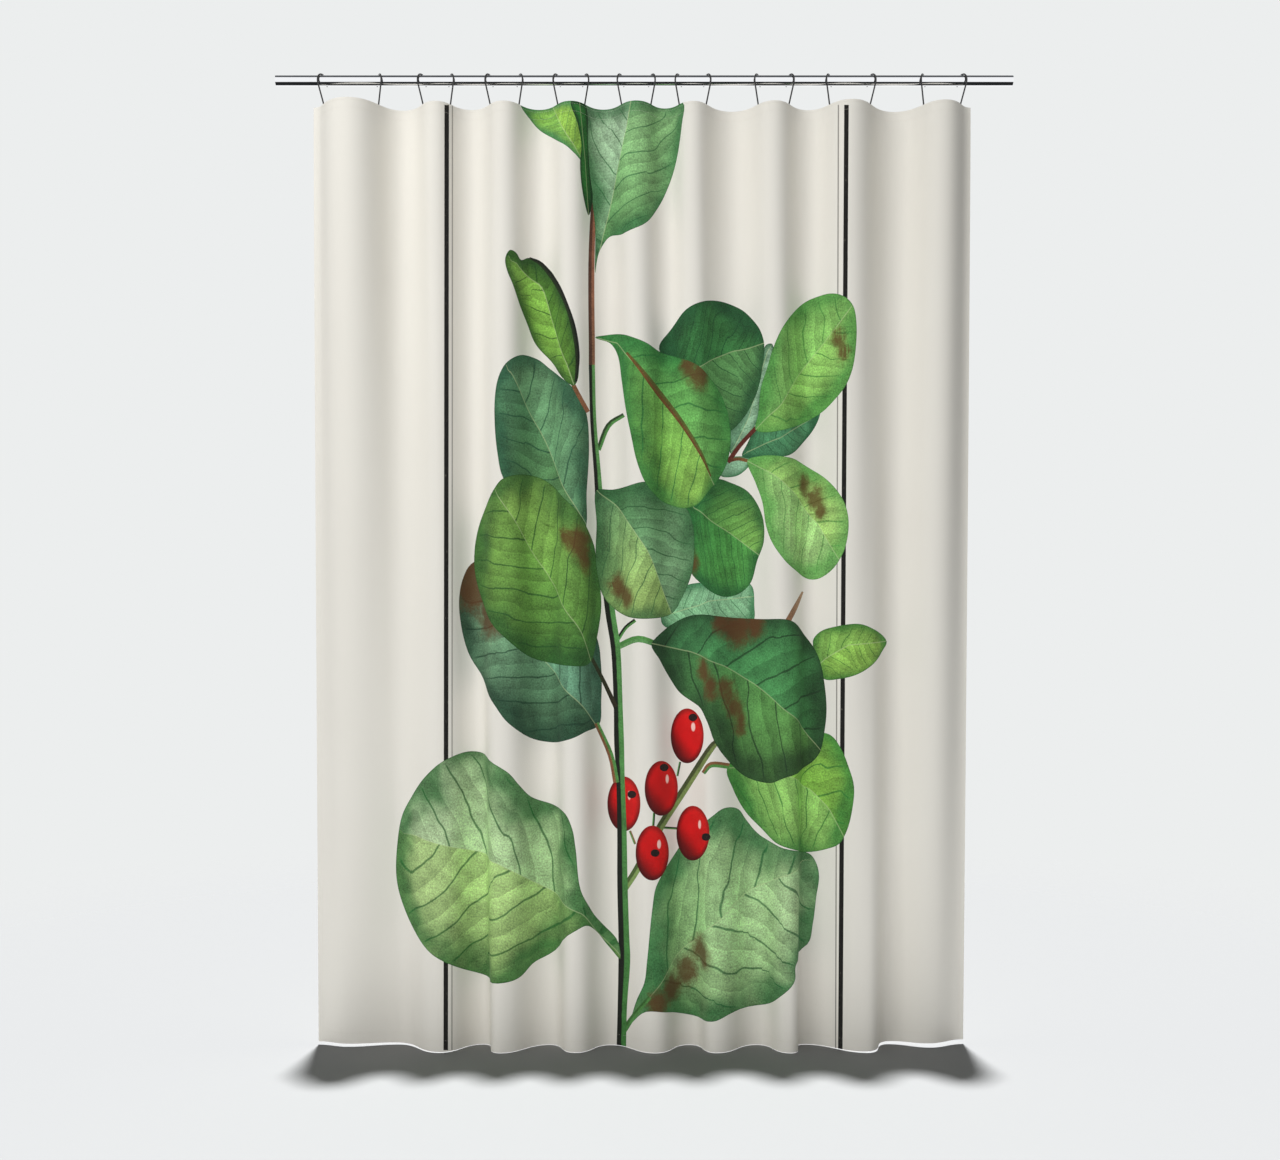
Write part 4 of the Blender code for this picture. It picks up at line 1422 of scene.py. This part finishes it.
THREAD_LIFT = 0.12 * MM  # from the surface to the middle of the thread
ON_FACE = CLOTH_THICKNESS / 2 + THREAD_LIFT
ON_HEM = -(HEM_GAP + HEM_THICKNESS + THREAD_LIFT)
ON_TAPE = -(TAPE_BEHIND + TAPE_THICKNESS + THREAD_LIFT)
FROM_EDGE = 2 * MM  # from a row to the inner edge of its hem, or to the tape's edge
left, right = 4 * MM, FLAT_WIDTH - 4 * MM
foot = FLAT_HEIGHT - FOOT_HEM + FROM_EDGE
side = SIDE_HEM - FROM_EDGE
side_down = (26 * MM, foot - 4 * MM)
STITCHING = {
    "hem_stitches": [
        ((left, foot), (right, foot), ON_FACE),
        ((left, foot), (right, foot), ON_HEM),
        *(
            ((across, side_down[0]), (across, side_down[1]), height)
            for across in (side, FLAT_WIDTH - side)
            for height in (ON_FACE, ON_HEM)
        ),
    ],
    "tape_stitches": [
        ((left, t), (right, t), height)
        for t in (TAPE_BELOW_TOP + FROM_EDGE, TAPE_BELOW_TOP + TAPE_HEIGHT - FROM_EDGE)
        for height in (ON_FACE, ON_TAPE)
    ],
}
SEWING = stitch_tree(thread_material())
stitches = []
for name, rows in STITCHING.items():
    points, edges = row_lines(rows)
    mesh = bpy.data.meshes.new(name)
    mesh.from_pydata(points, edges, [])
    piece = applied(place(name, mesh), SEWING, {"Pitch": STITCH_PITCH, "Stitch length": STITCH_LENGTH})
    print(name, len(piece.data.polygons), "faces")
    stitches.append(piece)

# %% [markdown]
# ## Hooks and loops
#
# Each hook is one wire, bent in an upright plane: over the rod, down to the back of the top
# edge, and up again as a prong that stands in its loop. The bends are the CAD model's, with many
# more points, and a Geometry Nodes tree sweeps the round wire along them. The loop is a short
# piece of the tape's webbing arched round the prong.

# %% Sizes of the wire and the loop
GAP = 0.3 * MM  # between pieces that touch on the real object
WIRE_DIAMETER = 3.2 * MM
CURL_PLAY = 0.5 * MM
CURL_TIP = math.radians(195)
KNEE_RADIUS = 8 * MM
RETURN_RADIUS = 2.8 * MM
PRONG_PAST_LOOP = 2 * MM
HOOK_YAW = math.radians(25)
LOOP_HEIGHT = 8 * MM
LOOP_BELOW_TOP = 8 * MM
LOOP_THICKNESS = 0.6 * MM
rod_radius = rod_high.z
tape_back = TAPE_BEHIND + TAPE_THICKNESS
prong_behind = tape_back + GAP + WIRE_DIAMETER / 2
loop_top = panel_high.z - LOOP_BELOW_TOP


# %% The wire's route, as (distance to the front, height), from the tip over the rod to the prong
def arc(centre, radius, start, end, steps):
    angles = [start + (end - start) * i / steps for i in range(steps + 1)]
    return [centre + radius * Vector((math.cos(a), math.sin(a))) for a in angles]


def hook_route(lean):
    """The wire's bends. lean is the angle between the hook's plane and the fold it stands behind."""
    seat = rod_radius + GAP + WIRE_DIAMETER / 2
    curl_radius = seat / math.cos(HOOK_YAW) ** 2 + CURL_PLAY
    curl = Vector((0, seat - curl_radius))
    prong_front = -prong_behind / math.cos(lean)
    bend_z = loop_top - LOOP_HEIGHT - GAP + RETURN_RADIUS - WIRE_DIAMETER / 2
    bend = Vector((prong_front - RETURN_RADIUS, bend_z))
    knee = Vector((bend.x - RETURN_RADIUS + KNEE_RADIUS, loop_top))
    across = knee - curl
    turn = math.acos((curl_radius + KNEE_RADIUS) / across.length)
    leg_angle = math.atan2(across.y, across.x) + turn
    route = arc(curl, curl_radius, CURL_TIP, leg_angle, 56)
    route += arc(knee, KNEE_RADIUS, leg_angle + math.pi, math.pi, 12)
    route += arc(bend, RETURN_RADIUS, math.pi, 2 * math.pi, 20)
    route.append(Vector((prong_front, loop_top + PRONG_PAST_LOOP)))
    return route


# %% The tree that turns a line into round wire
def wire_tree(material):
    tree = bpy.data.node_groups.new("Round wire", "GeometryNodeTree")
    tree.interface.new_socket("Geometry", in_out="INPUT", socket_type="NodeSocketGeometry")
    tree.interface.new_socket("Diameter", in_out="INPUT", socket_type="NodeSocketFloat").default_value = 0.003
    tree.interface.new_socket("Sides", in_out="INPUT", socket_type="NodeSocketInt").default_value = 20
    tree.interface.new_socket("Geometry", in_out="OUTPUT", socket_type="NodeSocketGeometry")
    takes = tree.nodes.new("NodeGroupInput").outputs
    curve = add_node(tree, "GeometryNodeMeshToCurve", {"Mesh": takes["Geometry"]}).outputs["Curve"]
    half = maths(tree, "MULTIPLY", takes["Diameter"], 0.5)
    inputs = {"Resolution": takes["Sides"], "Radius": half}
    ring = add_node(tree, "GeometryNodeCurvePrimitiveCircle", inputs).outputs["Curve"]
    # The cut ends are rounded over by drawing in the last few rings.
    along = add_node(tree, "GeometryNodeSplineParameter").outputs["Length"]
    whole = add_node(tree, "GeometryNodeSplineLength").outputs["Length"]
    to_end = maths(tree, "MINIMUM", along, maths(tree, "SUBTRACT", whole, along))
    share = maths(tree, "MINIMUM", maths(tree, "DIVIDE", to_end, half), 1.0)
    drawn_in = maths(tree, "SUBTRACT", 1.0, share)
    round_end = maths(tree, "SQRT", maths(tree, "SUBTRACT", 1.0, maths(tree, "POWER", drawn_in, 2.0)))
    inputs = {"Curve": curve, "Profile Curve": ring, "Fill Caps": True}
    inputs["Scale"] = maths(tree, "MAXIMUM", round_end, 0.12)
    swept = add_node(tree, "GeometryNodeCurveToMesh", inputs).outputs["Mesh"]
    soft = add_node(tree, "GeometryNodeSetShadeSmooth", {"Geometry": swept}).outputs["Geometry"]
    real = add_node(tree, "GeometryNodeRealizeInstances", {"Geometry": soft}).outputs["Geometry"]
    inputs = {"Geometry": real, "Material": material}
    done = add_node(tree, "GeometryNodeSetMaterial", inputs).outputs["Geometry"]
    tree.links.new(done, tree.nodes.new("NodeGroupOutput").inputs["Geometry"])
    return tree


def wire_material():
    """Black coating over wire: satin and a little uneven."""
    material, tree, shader = new_material("Black coated wire")
    where = add_node(tree, "ShaderNodeTexCoord").outputs["Object"]
    inputs = {"Vector": where, "Scale": 700.0, "Detail": 3.0}
    grain = add_node(tree, "ShaderNodeTexNoise", inputs).outputs["Fac"]
    tree.links.new(mix_colour(tree, grain, paint(10, 10, 11), paint(22, 22, 23)), shader.inputs["Base Color"])
    tree.links.new(maths(tree, "MULTIPLY_ADD", grain, 0.22, 0.26), shader.inputs["Roughness"])
    bump = add_node(tree, "ShaderNodeBump", {"Strength": 0.15, "Distance": 0.00004, "Height": grain})
    tree.links.new(bump.outputs["Normal"], shader.inputs["Normal"])
    return material


# %% One hook at its place
WIRE = wire_tree(wire_material())


def with_fine_ends(route):
    """Extra points near both ends, for their rounding."""
    radius = WIRE_DIAMETER / 2
    steps = [radius * (1 - math.cos(math.pi / 2 * i / 5)) for i in range(1, 6)]
    start, start_run = route[0], (route[1] - route[0])
    end, end_run = route[-1], (route[-2] - route[-1])
    front = [start + start_run.normalized() * step for step in steps if step < start_run.length]
    back = [end + end_run.normalized() * step for step in steps if step < end_run.length]
    return [start, *front, *route[1:-1], *back[::-1], end]


def make_hook(number, x, side, fold_yaw):
    """One hook at its place on the rod. side is 1 or -1, the way its plane is turned."""
    route = with_fine_ends(hook_route(fold_yaw - HOOK_YAW))
    turn = side * HOOK_YAW
    points = [(x + front * math.sin(turn), -front * math.cos(turn), z) for front, z in route]
    mesh = bpy.data.meshes.new(f"wire_{number:02d}")
    mesh.from_pydata(points, [(i, i + 1) for i in range(len(points) - 1)], [])
    return applied(place(mesh.name, mesh), WIRE, {"Diameter": WIRE_DIAMETER, "Sides": 20})


# %% One loop: webbing that arches round the prong, with both feet on the tape
LOOP_FOOT = 4 * MM
LOOP_RISE = 1.6 * MM
LOOP_STEPS = 10


def loop_side():
    """Half of the loop's line from the middle of its arch, as (along the cloth, behind it)."""
    foot_place = tape_back + 0.05 * MM + LOOP_THICKNESS / 2
    arch_place = prong_behind + WIRE_DIAMETER / 2 + GAP + LOOP_THICKNESS / 2
    half = WIRE_DIAMETER / 2 + GAP + LOOP_THICKNESS
    line = [(0.0, arch_place), (half * 0.5, arch_place)]
    for i in range(1, LOOP_STEPS + 1):
        share = i / LOOP_STEPS
        along = half * 0.5 + (half * 0.5 + LOOP_RISE) * share
        line.append((along, arch_place + (foot_place - arch_place) * float(smooth(share))))
    line.append((half + LOOP_RISE + LOOP_FOOT, foot_place))
    return line


def make_loop(number, x, side, fold_yaw):
    """Webbing at a hook. It is square to the fold there, and shifted to its hook's prong."""
    prong_front = -prong_behind / math.cos(fold_yaw - HOOK_YAW)
    shift = -side * prong_front * math.sin(fold_yaw - HOOK_YAW)
    half = loop_side()
    line = np.array([(-a, b) for a, b in half[:0:-1]] + half)
    run = np.gradient(line, axis=0)
    run /= np.linalg.norm(run, axis=1, keepdims=True)
    square = np.stack([-run[:, 1], run[:, 0]], axis=-1) * LOOP_THICKNESS / 2
    yaw = side * fold_yaw
    length = np.concatenate([[0], np.cumsum(np.linalg.norm(np.diff(line, axis=0), axis=1))])
    points, places = [], []
    for offset in (square, -square):
        for z in (loop_top, loop_top - LOOP_HEIGHT):
            for (a, b), far in zip(line + offset, length):
                a = a + shift
                across = a * math.cos(yaw) - b * math.sin(yaw)
                back = a * math.sin(yaw) + b * math.cos(yaw)
                points.append((x + across, back, z))
                places.append((far, z))
    n = len(line)
    outer_top, outer_foot, inner_top, inner_foot = (range(k * n, (k + 1) * n) for k in range(4))
    round_it = (outer_top, outer_foot, inner_foot, inner_top, outer_top)
    faces = []
    for i in range(n - 1):
        for upper, lower in zip(round_it, round_it[1:]):
            faces.append((upper[i], lower[i], lower[i + 1], upper[i + 1]))
    faces.append((outer_top[0], inner_top[0], inner_foot[0], outer_foot[0]))
    faces.append((outer_top[-1], outer_foot[-1], inner_foot[-1], inner_top[-1]))
    mesh = bpy.data.meshes.new(f"webbing_{number:02d}")
    mesh.from_pydata(points, [], [face[::-1] for face in faces])
    lay_flat(mesh, places)
    mesh.shade_smooth()
    mesh.set_sharp_from_angle(angle=math.radians(50))
    mesh.materials.append(WEBBING)
    return place(mesh.name, mesh)


# %% Eighteen of each
hooks, loops = [], []
for index, x in enumerate(hook_x):
    turned_to = -1 if index % 2 == 0 else 1
    hooks.append(make_hook(index + 1, x, turned_to, header_steepness))
    loops.append(make_loop(index + 1, x, turned_to, header_steepness))
print(f"{len(hooks)} hooks of {len(hooks[0].data.polygons)} faces, {len(loops)} loops")

# %% [markdown]
# ## The rod
#
# A polished tube. Its outline is turned about the rod's line like work on a lathe, with the
# outer and inner lips broken by a small radius, and a plug closes each end flush.


# %% Turned pieces
def turned_mesh(name, profile, sides=96, closed=True):
    """profile is (x, radius) points. A radius of 0 closes the piece with a point."""
    points, rings = [], []
    for x, radius in profile:
        if radius == 0:
            rings.append([len(points)] * sides)
            points.append((x, 0, 0))
            continue
        rings.append(list(range(len(points), len(points) + sides)))
        angles = [2 * math.pi * i / sides for i in range(sides)]
        points += [(x, radius * math.cos(a), radius * math.sin(a)) for a in angles]
    faces = []
    pairs = list(zip(rings, rings[1:] + rings[:1])) if closed else list(zip(rings, rings[1:]))
    for ring, following in pairs:
        for i in range(sides):
            j = (i + 1) % sides
            face = [ring[i], following[i], following[j], ring[j]]
            faces.append(list(dict.fromkeys(face)))
    mesh = bpy.data.meshes.new(name)
    mesh.from_pydata(points, [], faces)
    mesh.shade_smooth()
    mesh.set_sharp_from_angle(angle=math.radians(35))
    return mesh


def chrome_material():
    """Polished chrome with faint drawing lines round the tube and a few dull specks."""
    material, tree, shader = new_material("Polished chrome")
    shader.inputs["Metallic"].default_value = 1.0
    where = add_node(tree, "ShaderNodeTexCoord").outputs["Object"]
    stretched = add_node(tree, "ShaderNodeMapping", {"Vector": where, "Scale": (3.0, 900.0, 900.0)})
    inputs = {"Vector": stretched.outputs["Vector"], "Scale": 1.0, "Detail": 3.0}
    drawn = add_node(tree, "ShaderNodeTexNoise", inputs).outputs["Fac"]
    colour = mix_colour(tree, drawn, paint(214, 216, 219), paint(232, 233, 235))
    tree.links.new(colour, shader.inputs["Base Color"])
    inputs = {"Vector": where, "Scale": 40.0, "Detail": 4.0}
    smudge = add_node(tree, "ShaderNodeTexNoise", inputs).outputs["Fac"]
    dull = maths(tree, "MULTIPLY_ADD", ramp(tree, smudge, 0.5, 0.8), 0.10, 0.05)
    tree.links.new(dull, shader.inputs["Roughness"])
    return material


def plug_material():
    """Moulded grey plastic with a fine spark texture."""
    material, tree, shader = new_material("Grey plug plastic")
    where = add_node(tree, "ShaderNodeTexCoord").outputs["Object"]
    inputs = {"Vector": where, "Scale": 1500.0, "Detail": 2.0}
    grain = add_node(tree, "ShaderNodeTexNoise", inputs).outputs["Fac"]
    colour = mix_colour(tree, grain, paint(112, 114, 117), paint(134, 136, 139))
    tree.links.new(colour, shader.inputs["Base Color"])
    bump = add_node(tree, "ShaderNodeBump", {"Strength": 0.3, "Distance": 0.0001, "Height": grain})
    tree.links.new(bump.outputs["Normal"], shader.inputs["Normal"])
    shader.inputs["Roughness"].default_value = 0.48
    return material


# %% Tube and plugs
ROD_WALL = 1.0 * MM
LIP = 0.35 * MM
PLUG_LENGTH = 20 * MM
rod_left, rod_right = rod_low.x, rod_high.x
bore = rod_radius - ROD_WALL


def lip(x, inward, outer, inner):
    """The rounded end of the tube, from its outside to its bore."""
    line = []
    for i in range(5):
        a = math.pi / 2 * i / 4
        line.append((x + inward * LIP * (1 - math.sin(a)), outer - LIP * (1 - math.cos(a))))
    for i in range(5):
        a = math.pi / 2 * i / 4
        line.append((x + inward * LIP * (1 - math.cos(a)), inner + LIP * (1 - math.sin(a))))
    return line


def plug_profile(end, inward):
    """From the middle of a plug's face, over its rounded edge, to the middle of its back."""
    face = ((0.1 * MM, 0), (0.1 * MM, 0.55), (0.15 * MM, 0.9), (0.6 * MM, 1))
    steps = (*face, (PLUG_LENGTH, 1), (PLUG_LENGTH, 0))  # (distance in, share of the radius)
    return [(end + inward * depth, share * plug_radius) for depth, share in steps]


profile = lip(rod_right, -1, rod_radius, bore) + lip(rod_left, 1, rod_radius, bore)[::-1]
rod = place("chromed_rod", turned_mesh("chromed_rod", profile))
rod.data.materials.append(chrome_material())
plug_radius = bore - 0.15 * MM
PLASTIC = plug_material()
plugs = []
for name, x, inward in (("left_plug", rod_left, 1), ("right_plug", rod_right, -1)):
    profile = plug_profile(x, inward)
    mesh = turned_mesh(name, profile if inward > 0 else profile[::-1], sides=64, closed=False)
    mesh.materials.append(PLASTIC)
    plugs.append(place(name, mesh))
print("rod and plugs made")

# %% [markdown]
# ## Each piece on its body
#
# Each piece rides on its body, and the CAD node it replaces is hidden.

# %% Rides and replacements
def face_outwards(piece):
    work = bmesh.new()
    work.from_mesh(piece.data)
    bmesh.ops.recalc_face_normals(work, faces=work.faces)
    work.to_mesh(piece.data)
    work.free()


for piece in (rod, *plugs, *loops, *hooks, *sewn, tape):
    face_outwards(piece)

rod_pieces = (
    (rod, "rod_tube", "rod_chrome"),
    (plugs[0], "rod_plug_left", "plug_plastic"),
    (plugs[1], "rod_plug_right", "plug_plastic"),
)
for piece, node, slot in rod_pieces:
    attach(piece, "rod")
    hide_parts(node)
for number, (hook, loop) in enumerate(zip(hooks, loops), start=1):
    body = "curtain" if number == 1 else f"hook_{number:02d}"
    hanging = (
        (hook, f"hook_{number:02d}", "hook_wire"),
        (loop, f"loop_{number:02d}", "loop_webbing"),
    )
    for piece, node, slot in hanging:
        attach(piece, body)
        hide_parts(node)
for piece in (cloth, tape, *sewn, *stitches):
    crumple(piece)
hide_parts("curtain_panel")
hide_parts("heading_tape")
